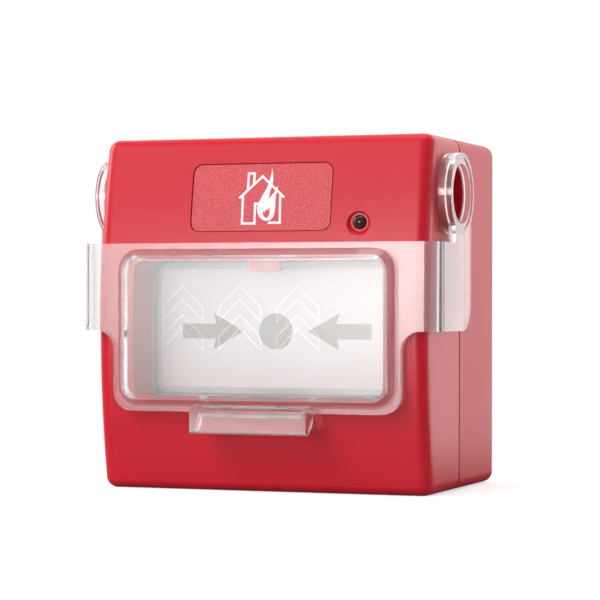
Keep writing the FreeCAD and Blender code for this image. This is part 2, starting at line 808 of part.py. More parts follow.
def make_plate_carrier():
    """Carrier behind the plate: guide pins, switch finger, flag cheek and cam fork in one moulding."""
    across = window_half - S.PlateSideGap - S.CarrierInset
    low = S.WindowBottom + S.PlateSideGap + S.CarrierInset
    high = S.WindowTop - S.PlateSideGap - S.CarrierInset
    parts = [block("carrier_plate", (-across, across), (plate_rear_y, carrier_rear_y), (low, high))]
    for side in SIDES:
        for height in (S.GuideLow, S.GuideHigh):
            start = (side * S.GuideAcross, carrier_rear_y - 0.5, height)
            parts.append(rod("guide_pin", "Y", start, S.GuidePinReach + 0.5, S.GuidePinRadius))
    finger = S.LeverPivot + S.LeverLength - 1
    parts.append(block("switch_finger", (finger - 0.6, finger + 0.6), (carrier_rear_y - 0.5, finger_end_y()),
                       (-S.LeverWidth / 2, S.LeverWidth / 2)))

    cheek_left = S.FlagArmWidth / 2 + 0.6
    cheek = new_body("flag_cheek")
    margin = S.FlagPinRadius + S.SlotGap + 1.1
    slot_low = flag_pin_z - S.FlagDrop
    shape = outline(sketch_on(cheek, "cheek_shape", "YZ_Plane", cheek_left), [
        (plate_rear_y, high - 1.5), (carrier_rear_y, high - 1.5),
        (flag_pin_y + margin, slot_low), (flag_pin_y + margin, flag_pin_z + margin),
        (flag_pin_y - 1, flag_pin_z + margin), (flag_rear_y + 0.3, slot_low + margin),
        (flag_rear_y + 0.3, S.WindowTop), (plate_rear_y, S.WindowTop),
    ])
    pad(cheek, "cheek_pad", shape, S.CheekThickness)
    slot = slanted_slot(cheek_left)
    parts.append(cut("slotted_cheek", cheek, [slot]))

    fork_half = S.CamThrow + S.CamPinRadius + 1.6
    arm = block("fork_arm", (-fork_half, fork_half), (plate_rear_y, carrier_rear_y), (fork_z - 0.8, low + 1))
    fork = block("fork_plate", (-fork_half, fork_half), (plate_rear_y, cam_y + 3.2),
                 (fork_z - 0.8, fork_z + 0.8))
    reach = S.CamPinRadius + S.SlotGap
    pin_y = cam_y - S.PlateTravel / 2
    fork_slot = block("fork_slot", (cam_pin_reach - reach - 0.2, cam_pin_reach + reach + 0.4),
                      (pin_y - reach, pin_y + reach), (fork_z - 1, fork_z + S.CamPinLength / 2 + 0.3))
    parts.append(cut("slotted_fork", fuse("fork_blank", [arm, fork]), [fork_slot]))
    return fuse("carrier_moulding", parts)


def slanted_slot(cheek_left):
    """Slot whose slope turns the plate's travel into the flag's drop."""
    body = new_body("flag_slot")
    radius = S.FlagPinRadius + S.SlotGap
    length = root(S.PlateTravel * S.PlateTravel + S.FlagDrop * S.FlagDrop)
    over, up = radius * S.FlagDrop / length, radius * S.PlateTravel / length
    top, bottom = (flag_pin_y, flag_pin_z), (flag_pin_y - S.PlateTravel, flag_pin_z - S.FlagDrop)
    shape = outline(sketch_on(body, "slot_shape", "YZ_Plane", cheek_left - 1), [
        (top[0] - over, top[1] + up), (bottom[0] - over, bottom[1] + up),
        (bottom[0] + over, bottom[1] - up), (top[0] + over, top[1] - up),
    ])
    pad(body, "slot_pad", shape, as_size(4))
    ends = [rod("slot_round", "X", (cheek_left - 1, as_size(place_y), as_size(place_z)), as_size(4), radius)
            for place_y, place_z in (top, bottom)]
    return fuse("slot_tool", [body] + ends)


def finger_end_y():
    """Rear end of the carrier's switch finger, just in front of the lifted lever."""
    lever_angle = arc_sine(S.PlateTravel / S.LeverLength)
    contact = along_slope(lever_angle, S.LeverLength - 1)
    return lever_y() - contact - S.LeverThickness - 0.3


def lever_y():
    """Rear face of the lever when it lies flat, pressed in."""
    return board_front_y - S.SwitchDepth - S.LeverRise


# Alarm flag: a striped blade that drops into the top of the window

def make_indicator_flag():
    top = flag_bottom_z + S.FlagBladeHeight
    parts = [block("flag_blade", (-S.FlagHalfWidth, S.FlagHalfWidth), (flag_front_y, flag_rear_y),
                   (flag_bottom_z, top))]
    for side in SIDES:
        ends = in_order(side * S.FlagHalfWidth, side * (S.FlagHalfWidth - S.FlagTailWidth))
        parts.append(block("flag_tail", ends, (flag_front_y, flag_rear_y),
                           (flag_bottom_z, flag_bottom_z + S.FlagTailHeight)))
    half = S.FlagArmWidth / 2
    parts.append(block("flag_arm", (-half, half), (flag_front_y, flag_pin_y + S.FlagPinRadius),
                       (flag_pin_z - S.FlagArmThickness / 2, flag_pin_z + S.FlagArmThickness / 2)))
    parts.append(rod("flag_pin", "X", (half - 1, flag_pin_y, flag_pin_z), as_size(3.4), S.FlagPinRadius))
    return fuse("flag_solid", parts)


# Reset cam: the key turns it, and its eccentric pin pulls the carrier forward again

def make_reset_cam():
    body_z = cam_bottom_z + S.CamFlangeThickness
    centre = (as_size(0), cam_y)
    flange = rod("cam_flange", "Z", centre + (cam_bottom_z,), S.CamFlangeThickness, S.CamFlangeRadius)
    barrel = rod("cam_barrel", "Z", centre + (body_z - 0.5,), S.CamHeight + 0.5, S.CamRadius)
    pin_place = (cam_pin_reach, cam_y - S.PlateTravel / 2, body_z + S.CamHeight - 0.5)
    pin = rod("cam_pin", "Z", pin_place, S.CamPinLength + 0.5, S.CamPinRadius)
    key_slot = block("cam_key_slot", (-S.KeySlotLength / 2, S.KeySlotLength / 2),
                     (cam_y - S.KeySlotWidth / 2, cam_y + S.KeySlotWidth / 2),
                     (cam_bottom_z - 1, cam_bottom_z + S.KeySlotDepth))
    return cut("cam_solid", fuse("cam_blank", [flange, barrel, pin]), [key_slot])


# Chassis: the inner moulding that guides and carries everything

def make_chassis():
    half_x = inner_half_width - S.ChassisMargin
    half_z = inner_half_height - S.ChassisMargin
    parts = [block("chassis_plate", (-half_x, half_x), (chassis_front_y, chassis_rear_y), (-half_z, half_z))]
    holes = []
    inner = (-window_half, window_half)
    frame = block("frame_block", (inner[0] - S.FrameWall, inner[1] + S.FrameWall),
                  (frame_front_y, chassis_front_y), (S.WindowBottom - S.FrameWall, S.WindowTop + S.FrameWall))
    well = block("frame_well", inner, (frame_front_y - 1, chassis_front_y), (S.WindowBottom, S.WindowTop))
    parts.append(cut("guide_frame", frame, [well]))
    bush_front = carrier_rear_y + S.PlateTravel + 0.3
    for side in SIDES:
        for height in (S.GuideLow, S.GuideHigh):
            start = (side * S.GuideAcross, bush_front, height)
            length = chassis_rear_y + 2 - bush_front
            parts.append(rod("bush", "Y", start, length, S.GuidePinRadius + S.RunningGap + S.BushWall))
            holes.append(rod("bush_bore", "Y", (start[0], bush_front - 1, height), length + 2,
                             S.GuidePinRadius + S.RunningGap))
        for height in (-screw_height, screw_height):
            start = (side * screw_across, chassis_front_y, height)
            holes.append(rod("screw_hole", "Y", start, S.ChassisThickness, S.ScrewRadius + 0.25))
        length = board_front_y - chassis_rear_y
        for height in (-board_screw_height, board_screw_height):
            post = (side * board_screw_across, chassis_rear_y - 0.5, height)
            parts.append(rod("board_post", "Y", post, length + 0.5, S.BossRadius))
            holes.append(rod("board_pilot", "Y", (post[0], board_front_y - 5, height), as_size(5),
                             S.ScrewRadius))
        rail = in_order(side * (S.FlagHalfWidth - 0.6), side * (S.FlagHalfWidth + 2.4))
        rail_bottom = S.WindowTop + S.WindowWall + 0.6
        parts.append(block("flag_rail", rail, (flag_front_y - 1.3, chassis_front_y),
                           (rail_bottom, rail_bottom + S.FlagRailHeight)))
        groove = in_order(side * (S.FlagHalfWidth - 1), side * (S.FlagHalfWidth + 0.4))
        holes.append(block("flag_groove", groove, (flag_front_y - 0.3, flag_rear_y + 0.3),
                           (rail_bottom - 1, rail_bottom + S.FlagRailHeight + 1)))
    flag_room = S.FlagHalfWidth + 0.5
    holes.append(block("flag_notch", (-flag_room, flag_room), (frame_front_y - 1, flag_rear_y + 0.4),
                       (S.WindowTop - 0.5, S.WindowTop + S.FrameWall + 1)))
    arm_room = S.FlagArmWidth / 2 + 3
    holes.append(block("cheek_notch", (-arm_room, arm_room), (frame_front_y - 1, chassis_rear_y + 1),
                       (S.WindowTop - S.CarrierInset - 2.5, flag_pin_z + 3)))
    fork_room = S.CamThrow + S.CamPinRadius + 2.2
    holes.append(block("fork_notch", (-fork_room, fork_room), (frame_front_y - 1, chassis_front_y + 0.01),
                       (S.WindowBottom - S.FrameWall - 1, S.WindowBottom + 1)))
    holes.append(block("fork_window", (-fork_room, fork_room), (chassis_front_y - 1, chassis_rear_y + 1),
                       (fork_z - S.CamPinLength / 2 - 0.3, fork_z + S.CamPinLength / 2 + 0.3)))
    switch_right = S.LeverPivot + S.LeverLength + 1.5
    holes.append(block("switch_window", (S.SwitchLeft - 0.5, switch_right),
                       (chassis_front_y - 1, chassis_rear_y + 1),
                       (-S.SwitchHeight / 2 - 0.5, S.SwitchHeight / 2 + 0.5)))
    holes.append(rod("pipe_hole", "Y", (S.LightAcross, chassis_front_y - 1, light_z), S.ChassisThickness + 2,
                     S.PipeRadius + 0.3))
    seat_low = cam_bottom_z + S.CamFlangeThickness + 0.3
    seat_high = seat_low + S.CamHeight - 1.2
    parts.append(block("cam_seat", (-S.CamRadius - 3, S.CamRadius + 3),
                       (cam_y - S.CamRadius - 2, cam_y + S.CamRadius + 2), (seat_low, seat_high)))
    holes.append(rod("cam_bore", "Z", (as_size(0), cam_y, seat_low - 1), S.CamHeight + 2,
                     S.CamRadius + S.RunningGap))
    return cut("chassis_moulding", fuse("chassis_solids", parts), holes)


# Circuit board, microswitch and terminals

def make_circuit_board():
    board = block("board_panel", (-board_half_width, board_half_width), (board_front_y, board_rear_y),
                  (-board_half_height, board_half_height))
    holes = []
    for side in SIDES:
        for height in (-board_screw_height, board_screw_height):
            holes.append(rod("board_hole", "Y", (side * board_screw_across, board_front_y, height),
                             S.BoardThickness, S.ScrewRadius + 0.2))
    return cut("board_drilled", board, holes)


def make_microswitch():
    right = S.SwitchLeft + S.SwitchLength
    front = board_front_y - S.SwitchDepth
    half = S.SwitchHeight / 2
    case = block("switch_block", (S.SwitchLeft, right), (front, board_front_y), (-half, half))
    ears = [block("switch_ear", (S.LeverPivot - 0.9, S.LeverPivot + 0.9), (front - 1.5, front),
                  in_order(side * half, side * (half - 0.6))) for side in SIDES]
    pivot = rod("pivot_bore", "Z", (S.LeverPivot, lever_y(), -half - 1), S.SwitchHeight + 2, as_size(0.45))
    bore = rod("plunger_bore", "Y", (S.PlungerAcross, front, as_size(0)), as_size(3.2),
               S.PlungerRadius + S.RunningGap)
    return cut("switch_case", fuse("switch_solids", [case] + ears), [pivot, bore])


def make_switch_lever():
    """Spring steel lever, lifted off the switch at rest by the plate's travel."""
    angle = arc_sine(S.PlateTravel / S.LeverLength)
    half = S.LeverWidth / 2
    strip = doc.addObject("Part::Box", "lever_strip")
    bind(strip, "Length", S.LeverLength)
    bind(strip, "Width", S.LeverThickness)
    bind(strip, "Height", S.LeverWidth)
    strip.Placement.Rotation = FreeCAD.Rotation(FreeCAD.Vector(0, 0, -1), angle.value)
    bind(strip, "Placement.Rotation.Angle", angle)
    place(strip, S.LeverPivot, lever_y() - S.LeverThickness, -half)
    knuckle = rod("lever_knuckle", "Z", (S.LeverPivot, lever_y(), -half), S.LeverWidth, as_size(0.5))
    trunnion = rod("lever_trunnion", "Z", (S.LeverPivot, lever_y(), -S.SwitchHeight / 2), S.SwitchHeight,
                   as_size(0.38))
    return fuse("lever_solid", [strip, knuckle, trunnion])


def make_switch_plunger():
    angle = arc_sine(S.PlateTravel / S.LeverLength)
    lift = along_slope(angle, S.PlungerAcross - S.PlungerRadius - S.LeverPivot)
    front = lever_y() - lift + 0.1
    return rod("plunger_solid", "Y", (S.PlungerAcross, front, as_size(0)), S.PlungerLength, S.PlungerRadius)


def make_switch_pins():
    pins = []
    for step in (0.15, 0.5, 0.85):
        across = S.SwitchLeft + step * S.SwitchLength
        pins.append(block("switch_pin", (across - 0.4, across + 0.4), (board_rear_y, board_rear_y + 2),
                          (as_size(-0.25), as_size(0.25))))
    return group("switch_pin_group", pins)


TERMINAL_WAYS = 6
wire_hole_front_y = board_rear_y + S.WireHoleFront
wire_hole_rear_y = wire_hole_front_y + S.WireHoleHeight


def terminal_places():
    return [S.TerminalPitch * (way - (TERMINAL_WAYS - 1) / 2) for way in range(TERMINAL_WAYS)]


def make_terminal_block():
    half = S.TerminalPitch * TERMINAL_WAYS / 2
    rear = board_rear_y + S.TerminalDepth
    top = terminal_bottom + S.TerminalHeight
    body = block("terminal_body", (-half, half), (board_rear_y, rear), (terminal_bottom, top))
    holes = []
    for across in terminal_places():
        holes.append(block("wire_hole", (across - S.WireHoleHalf, across + S.WireHoleHalf),
                           (wire_hole_front_y, wire_hole_rear_y),
                           (terminal_bottom - 1, terminal_bottom + S.WireHoleDepth)))
        driver = (across, board_rear_y + S.DriverBack, terminal_bottom + S.DriverHeight)
        holes.append(rod("driver_hole", "Y", driver, S.TerminalDepth, S.DriverRadius))
    return cut("terminal_housing", body, holes)


def make_terminal_clamps():
    """Brass cages that the wires go into."""
    clamps = []
    half = S.WireHoleHalf - S.ClampGap
    front, rear = wire_hole_front_y + S.ClampGap, wire_hole_rear_y - S.ClampGap
    low, high = terminal_bottom + S.ClampLow, terminal_bottom + S.ClampHigh
    for across in terminal_places():
        cage = block("clamp_cage", (across - half, across + half), (front, rear), (low, high))
        mouth = block("clamp_mouth", (across - half + S.ClampWall, across + half - S.ClampWall),
                      (front + S.ClampWall, rear - 2 * S.ClampWall), (low - 1, high + 1))
        clamps.append(cut("clamp", cage, [mouth]))
    return group("clamp_group", clamps)


def slotted_screw(name, centre, top_y, head_radius, head_height, shank_radius, shank_length):
    """A screw that is driven from behind, along -Y, with a straight slot in its head."""
    across, height = centre
    head = rod(f"{name}_head", "Y", (across, top_y - head_height, height), head_height, head_radius)
    shank = rod(f"{name}_shank", "Y", (across, top_y - head_height - shank_length, height), shank_length,
                shank_radius)
    slot = block(f"{name}_slot", (across - head_radius, across + head_radius),
                 (top_y - head_height * 0.5, top_y + 1), (height - 0.35, height + 0.35))
    return cut(name, fuse(f"{name}_blank", [head, shank]), [slot])


def make_terminal_screws():
    top = board_rear_y + S.TerminalDepth - S.TerminalHeadSink
    height = terminal_bottom + S.DriverHeight
    length = top - S.TerminalHeadHeight - wire_hole_rear_y + S.ClampGap
    return group("terminal_screw_group", [
        slotted_screw("terminal_screw", (across, height), top, S.TerminalHeadRadius, S.TerminalHeadHeight,
                      S.TerminalScrewRadius, length)
        for across in terminal_places()
    ])


def make_chassis_screws():
    top = chassis_rear_y + S.ScrewHeadHeight
    return group("chassis_screw_group", [
        slotted_screw("chassis_screw", (side * screw_across, height), top, S.ScrewHeadRadius, S.ScrewHeadHeight,
                      S.ScrewRadius, S.ScrewLength)
        for side in SIDES for height in (-screw_height, screw_height)
    ])


def make_board_screws():
    top = board_rear_y + S.ScrewHeadHeight
    return group("board_screw_group", [
        slotted_screw("board_screw", (side * board_screw_across, height), top, S.ScrewHeadRadius,
                      S.ScrewHeadHeight, S.ScrewRadius, S.BoardThickness + S.BoardScrewReach)
        for side in SIDES for height in (-board_screw_height, board_screw_height)
    ])


def make_lock_screws():
    """Countersunk screws that hold the bezel in the box from below."""
    screws = []
    for side in SIDES:
        across = side * S.LockAcross
        bottom = -half_height + 0.2
        head = taper("lock_head", "Z", (across, lock_y, bottom), S.LockHeadRadius - S.LockRadius,
                     S.LockHeadRadius, S.LockRadius)
        shank = rod("lock_shank", "Z", (across, lock_y, bottom), S.LockLength - 1, S.LockRadius)
        slot = block("lock_slot", (across - 3, across + 3), (lock_y - 0.35, lock_y + 0.35),
                     (bottom - 1, bottom + 0.6))
        screws.append(cut("lock_screw", fuse("lock_blank", [head, shank]), [slot]))
    return group("lock_screw_group", screws)


def make_resistors():
    """Two leaded resistors that lie on the rear of the board."""
    resistors = []
    start, end = -S.ResistorLeft, S.ResistorLength - S.ResistorLeft
    rest_y = board_rear_y + S.ResistorLift
    for height in (S.ResistorLow, S.ResistorLow + S.ResistorPitch):
        barrel = rod("resistor_body", "X", (start, rest_y, height), S.ResistorLength, S.ResistorRadius)
        ends = [rod("resistor_end", "X", (across, rest_y, height), S.ResistorCapLength, S.ResistorCapRadius)
                for across in (start, end - S.ResistorCapLength)]
        leads = [rod("resistor_lead", "X", (start - S.LeadReach, rest_y, height),
                     S.ResistorLength + 2 * S.LeadReach, S.LeadRadius)]
        for across in (start - S.LeadReach, end + S.LeadReach):
            leads.append(rod("resistor_leg", "Y", (across, board_rear_y, height), S.LegLength, S.LegRadius))
        resistors.append(fuse("resistor", [barrel] + ends + leads))
    return group("resistor_group", resistors)


# Clear cover: one wrap-round moulding with two eyelet rings, a raised pane and a finger tab

def make_hinged_cover():
    body = new_body("hinged_cover")
    in_x = half_width + S.CoverSideGap
    out_x = in_x + S.CoverThickness
    in_y = front_y - S.CoverGap
    out_y = in_y - S.CoverThickness
    bend = S.CoverBend
    bend_in = bend - S.CoverThickness
    back = parting_y - S.WingAhead
    top, bottom = S.WindowTop + S.CoverAbove, S.WindowBottom - S.CoverBelow
    wrap = outline(sketch_on(body, "wrap_section", "XY_Plane", bottom), [
        (-out_x, back), (-out_x, out_y + bend, bend, 1),
        (-out_x + bend, out_y), (out_x - bend, out_y, bend, 1),
        (out_x, out_y + bend), (out_x, back), (in_x, back),
        (in_x, in_y + bend_in, bend_in, -1), (in_x - bend_in, in_y), (-in_x + bend_in, in_y, bend_in, -1),
        (-in_x, in_y + bend_in), (-in_x, back),
    ])
    pad(body, "wrap", wrap, top - bottom)
    half_lower = half_width - S.CoverLowerInset
    for side in SIDES:
        name = "right" if side > 0 else "left"
        ends = in_order(side * half_lower, side * (out_x + 5))
        below = rectangle(sketch_on(body, f"{name}_below", "XZ_Plane", -out_y + 1), ends,
                          (bottom - 5, S.WingBottom))
        pocket(body, f"{name}_below_wing", below, -out_y)

    def at_side(box, height):
        return (near(abs(box.XMin), half_lower) and near(box.ZMin, height)
                and box.YLength > 1 and box.XLength < 0.1)
    fillet(body, "shoulders", S.ShoulderRadius, lambda box: at_side(box, S.WingBottom))
    fillet(body, "lower_corners", S.CoverCorner, lambda box: at_side(box, bottom))
    fillet(body, "wing_corners", S.WingCorner,
           lambda box: near(box.YMin, back) and near(box.ZMax, S.WingBottom) and box.XLength > 1)

    for side in SIDES:
        name = "right" if side > 0 else "left"
        ring_in = half_width + S.RingSideGap
        go_left = side < 0
        neck = rectangle(sketch_on(body, f"{name}_neck", "YZ_Plane", side * in_x), (hinge_y - S.NeckAhead, back),
                         (top - 3, hinge_z))
        pad(body, f"{name}_neck_pad", neck, S.CoverThickness, back=go_left)
        ring = circle(sketch_on(body, f"{name}_ring", "YZ_Plane", side * ring_in), hinge_y, hinge_z,
                      S.RingRadius)
        pad(body, f"{name}_ring_pad", ring, out_x - ring_in, back=go_left)
    for side in SIDES:
        name = "right" if side > 0 else "left"
        ring_in = half_width + S.RingSideGap
        bore = circle(sketch_on(body, f"{name}_bore", "YZ_Plane", side * (ring_in - 0.1)), hinge_y, hinge_z,
                      S.HubRadius + S.RunningGap)
        pocket(body, f"{name}_hub_bore", bore, in_x - ring_in + 0.1, back=side > 0)
        eye = circle(sketch_on(body, f"{name}_eye", "YZ_Plane", side * (ring_in - 0.1)), hinge_y, hinge_z,
                     S.EyeRadius)
        pocket(body, f"{name}_eye_hole", eye, out_x - ring_in + 1, back=side > 0)
        face = circle(sketch_on(body, f"{name}_ring_face", "YZ_Plane", side * out_x), hinge_y, hinge_z,
                      S.RingRadius - S.RingLip)
        pocket(body, f"{name}_face_sink", face, S.RingFaceSink, back=side < 0)

    half_pane = window_half + S.PaneBeside
    pane_top, pane_bottom = S.WindowTop + S.PaneAbove, S.WindowBottom - S.PaneBelow
    raised = rounded_rectangle(sketch_on(body, "pane_outer", "XZ_Plane", -out_y), (-half_pane, half_pane),
                               (pane_bottom, pane_top), S.PaneCorner)
    pad(body, "pane", raised, S.PaneRise, draft=-S.PaneDraft)
    wall = S.CoverThickness * 0.6
    sunk = rounded_rectangle(sketch_on(body, "pane_inner", "XZ_Plane", -in_y),
                             (-half_pane + wall, half_pane - wall), (pane_bottom + wall, pane_top - wall),
                             S.PaneCorner - wall)
    pocket(body, "pane_hollow", sunk, S.PaneRise, back=True, draft=-S.PaneDraft)

    half_handle = S.HandleWidth / 2
    tip_y = out_y - S.PaneRise - S.HandleReach + 2
    handle_top, handle_bottom = bottom + S.HandleRise, bottom - S.HandleDrop
    handle = outline(sketch_on(body, "handle_section", "YZ_Plane"), [
        (in_y, bottom), (out_y - 0.3, bottom), (tip_y + S.HandleWall, bottom - 1.2),
        (tip_y + S.HandleWall, handle_bottom + 0.6), (tip_y + S.HandleWall + 0.5, handle_bottom),
        (tip_y - 0.3, handle_bottom), (tip_y, handle_bottom + 0.8), (tip_y, bottom + 0.6),
        (out_y, handle_top), (in_y, handle_top),
    ])
    pad(body, "handle", handle, S.HandleWidth, symmetric=True)
    for side in SIDES:
        name = "right" if side > 0 else "left"
        rib = outline(sketch_on(body, f"{name}_rib", "YZ_Plane", side * (half_handle - S.HandleWall)), [
            (in_y, bottom + 0.5), (out_y, handle_bottom + 2), (tip_y + 1.9, handle_bottom),
            (tip_y, handle_bottom + 0.8), (tip_y, bottom + 1.2), (out_y, handle_top), (in_y, handle_top),
        ])
        pad(body, f"{name}_rib_pad", rib, S.HandleWall, back=side < 0)
    return body


MAKERS = {
    "back_box": make_back_box,
    "bezel": make_bezel,
    "pictogram_plate": make_pictogram_plate,
    "light_pipe": make_light_pipe,
    "status_led": make_status_led,
    "press_plate": make_press_plate,
    "plate_carrier": make_plate_carrier,
    "indicator_flag": make_indicator_flag,
    "reset_cam": make_reset_cam,
    "chassis": make_chassis,
    "circuit_board": make_circuit_board,
    "microswitch_case": make_microswitch,
    "switch_lever": make_switch_lever,
    "switch_plunger": make_switch_plunger,
    "switch_pins": make_switch_pins,
    "terminal_block": make_terminal_block,
    "terminal_clamps": make_terminal_clamps,
    "terminal_screws": make_terminal_screws,
    "chassis_screws": make_chassis_screws,
    "board_screws": make_board_screws,
    "lock_screws": make_lock_screws,
    "resistors": make_resistors,
    "hinged_cover": make_hinged_cover,
}

sub_parts = {}
for node, maker in MAKERS.items():
    sub_parts[node] = maker()
    sub_parts[node].Label = node
doc.recompute()

failed = [item.Label for item in doc.Objects if "Invalid" in item.State or "Error" in item.State]
failed += [node for node, item in sub_parts.items() if item.Shape.isNull() or not item.Shape.isValid()]
if failed:
    raise ValueError(f"these did not build: {failed}")

os.makedirs("parts", exist_ok=True)
for node, item in sub_parts.items():
    item.Shape.exportStep(f"parts/{node}.step")
    print(f"{node:18s} {len(item.Shape.Solids)} solids {item.Shape.Volume:10.2f} mm3")
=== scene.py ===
# %% [markdown]
# # A fire alarm call point
#
# The object is a wall unit of red moulded plastic. A white plate sits behind a window in its front,
# and a clear cover wraps round the front and hangs on two eyelets. Pressing the plate raises the
# alarm. The solids come from the CAD model, so nothing here changes a size. This script gives each
# solid its finish, adds the printed and moulded marks that are too thin to be parts, and lights it.
#
# Blender starts with a few objects of its own, which are removed first. Lengths are written in
# millimetres and multiplied by MM, because Blender counts in metres. Only the lamps' sizes and
# distances and the floor's half width and fade are in metres.

# %% Load the solids
import json
import math

import bmesh
import bpy
from mathutils import Matrix, Vector

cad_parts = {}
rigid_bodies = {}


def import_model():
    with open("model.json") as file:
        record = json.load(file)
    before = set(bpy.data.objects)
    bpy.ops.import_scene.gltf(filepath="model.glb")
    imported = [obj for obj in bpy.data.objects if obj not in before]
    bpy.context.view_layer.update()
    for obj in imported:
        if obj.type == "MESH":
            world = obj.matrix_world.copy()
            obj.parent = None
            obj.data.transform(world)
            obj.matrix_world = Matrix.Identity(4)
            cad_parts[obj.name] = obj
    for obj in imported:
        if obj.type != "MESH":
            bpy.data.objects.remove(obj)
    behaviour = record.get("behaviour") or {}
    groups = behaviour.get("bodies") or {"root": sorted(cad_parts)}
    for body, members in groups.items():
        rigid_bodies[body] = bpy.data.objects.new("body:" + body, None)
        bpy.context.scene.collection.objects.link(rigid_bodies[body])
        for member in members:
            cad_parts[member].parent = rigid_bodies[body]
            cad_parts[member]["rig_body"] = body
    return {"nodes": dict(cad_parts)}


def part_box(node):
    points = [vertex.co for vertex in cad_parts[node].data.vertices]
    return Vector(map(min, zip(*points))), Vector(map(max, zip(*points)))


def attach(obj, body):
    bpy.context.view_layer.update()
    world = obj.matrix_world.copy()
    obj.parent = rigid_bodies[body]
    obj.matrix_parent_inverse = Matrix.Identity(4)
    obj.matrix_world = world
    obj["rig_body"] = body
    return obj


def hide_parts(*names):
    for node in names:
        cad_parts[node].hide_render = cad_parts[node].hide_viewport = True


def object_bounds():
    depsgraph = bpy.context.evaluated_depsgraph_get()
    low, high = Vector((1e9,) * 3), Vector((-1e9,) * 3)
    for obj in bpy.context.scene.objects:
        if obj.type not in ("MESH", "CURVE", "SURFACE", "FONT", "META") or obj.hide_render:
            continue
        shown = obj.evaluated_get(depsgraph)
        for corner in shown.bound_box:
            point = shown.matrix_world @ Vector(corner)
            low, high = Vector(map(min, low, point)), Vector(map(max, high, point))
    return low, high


for leftover in list(bpy.data.objects):
    bpy.data.objects.remove(leftover)

MM = 0.001
MM_PER_METRE = 1000.0
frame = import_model()
cad_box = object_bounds()

# %% [markdown]
# ## Camera
#
# The photograph was taken with a long lens from the right of the unit, level with its middle. A long
# lens keeps the upright edges nearly parallel. A camera can be aimed at an empty object, but then its
# small roll is lost. Here the place, turn and focal length are numbers in the object's own frame, so
# that the picture can be laid over the photograph.

# %% Set the camera
CAMERA_PLACE = (215.8, -613.9, 2.6)
CAMERA_YAW, CAMERA_PITCH, CAMERA_ROLL = 20.23, 0.09, 0.09
FOCAL_LENGTH, SENSOR = 142.1, 36.0

camera_data = bpy.data.cameras.new("camera")
camera_data.lens = FOCAL_LENGTH
camera_data.sensor_width = SENSOR
camera = bpy.data.objects.new("camera", camera_data)
bpy.context.scene.collection.objects.link(camera)
turn = (Matrix.Rotation(math.radians(CAMERA_YAW), 4, "Z")
        @ Matrix.Rotation(math.radians(90 + CAMERA_PITCH), 4, "X")
        @ Matrix.Rotation(math.radians(CAMERA_ROLL), 4, "Z"))
camera.matrix_world = Matrix.Translation(Vector(CAMERA_PLACE) * MM) @ turn
bpy.context.scene.camera = camera
print("camera lens", FOCAL_LENGTH, "mm at", CAMERA_PLACE)

# %% [markdown]
# ## Nodes
#
# The light, the floor and the finishes are all built from shader nodes. Written out, each node takes
# one line to make it, one for each setting and one for each link. A helper that takes them all in one
# call keeps the later cells short. The first tree it works on is that of the world, emptied here.


# %% A helper for nodes
def add(tree, kind, inputs=None, **settings):
    """A node with its settings and its inputs: plain values, or sockets to link from."""
    node = tree.nodes.new(kind)
    for name, value in settings.items():
        setattr(node, name, value)
    for name, value in (inputs or {}).items():
        if isinstance(value, bpy.types.NodeSocket):
            tree.links.new(value, node.inputs[name])
        else:
            node.inputs[name].default_value = value
    return node


world = bpy.data.worlds.new("studio")
bpy.context.scene.world = world
world.use_nodes = True
tree = world.node_tree
tree.nodes.clear()
print("world:", world.name)

# %% [markdown]
# ## Background
#
# Product pictures like this one are made in a white tent. Gloss plastic shows plainly where the tent
# is white and where it is not: the side facing away from the camera mirrors the white wall behind the
# object, while the front mirrors the darker room round the camera. The world is therefore white
# behind the object and grey in front, with a smooth step between them.
#
# The camera sees the world as plain white, directly and through the clear cover. A ray that has met a
# matt surface first is told by its diffuse depth, and gets the tent's own light even if it then
# passes the cover. Without that, the plate behind the cover would be lit by the plain white too.

# %% Make the surroundings
ROOM_GREY, TENT_WHITE = 0.12, 1.35
TENT_FROM, TENT_TO = 0.15, 0.75
PLAIN_WHITE = 1.0

direction = add(tree, "ShaderNodeTexCoord")
split = add(tree, "ShaderNodeSeparateXYZ", {0: direction.outputs["Generated"]})
tent = add(tree, "ShaderNodeMapRange",
           {"Value": split.outputs["Y"], "From Min": TENT_FROM, "From Max": TENT_TO,
            "To Min": ROOM_GREY, "To Max": TENT_WHITE}, interpolation_type="SMOOTHSTEP")
rays = add(tree, "ShaderNodeLightPath")
seen_through = add(tree, "ShaderNodeMath", {0: rays.outputs["Is Transmission Ray"],
                                            1: rays.outputs["Diffuse Depth"]},
                   operation="SUBTRACT", use_clamp=True)
plain = add(tree, "ShaderNodeMath", {0: rays.outputs["Is Camera Ray"], 1: seen_through.outputs[0]},
            operation="MAXIMUM")
strength = add(tree, "ShaderNodeMix", {"Factor": plain.outputs[0], "A": tent.outputs[0], "B": PLAIN_WHITE})
sky = add(tree, "ShaderNodeBackground", {"Color": (1, 1, 1, 1), "Strength": strength.outputs["Result"]})
add(tree, "ShaderNodeOutputWorld", {0: sky.outputs[0]})
print("world: white behind, grey", ROOM_GREY, "in front")

# %% [markdown]
# Clear plastic leads light along inside it as a light guide does, and every turn that the light takes
# on its way costs a bounce. When a path runs out of bounces it ends black, which draws black strips in
# the cover's bent wings. A less glassy plastic would only hide them, so more bounces are allowed. The
# view transform is plain, so that a colour shows as it is written.

# %% Allow more bounces
ALL_BOUNCES, CLEAR_BOUNCES = 24, 16

bpy.context.scene.view_settings.view_transform = "Standard"
bpy.context.scene.cycles.max_bounces = ALL_BOUNCES
bpy.context.scene.cycles.glossy_bounces = CLEAR_BOUNCES
bpy.context.scene.cycles.transmission_bounces = CLEAR_BOUNCES
print("bounces:", ALL_BOUNCES, "in all,", CLEAR_BOUNCES, "in clear plastic")

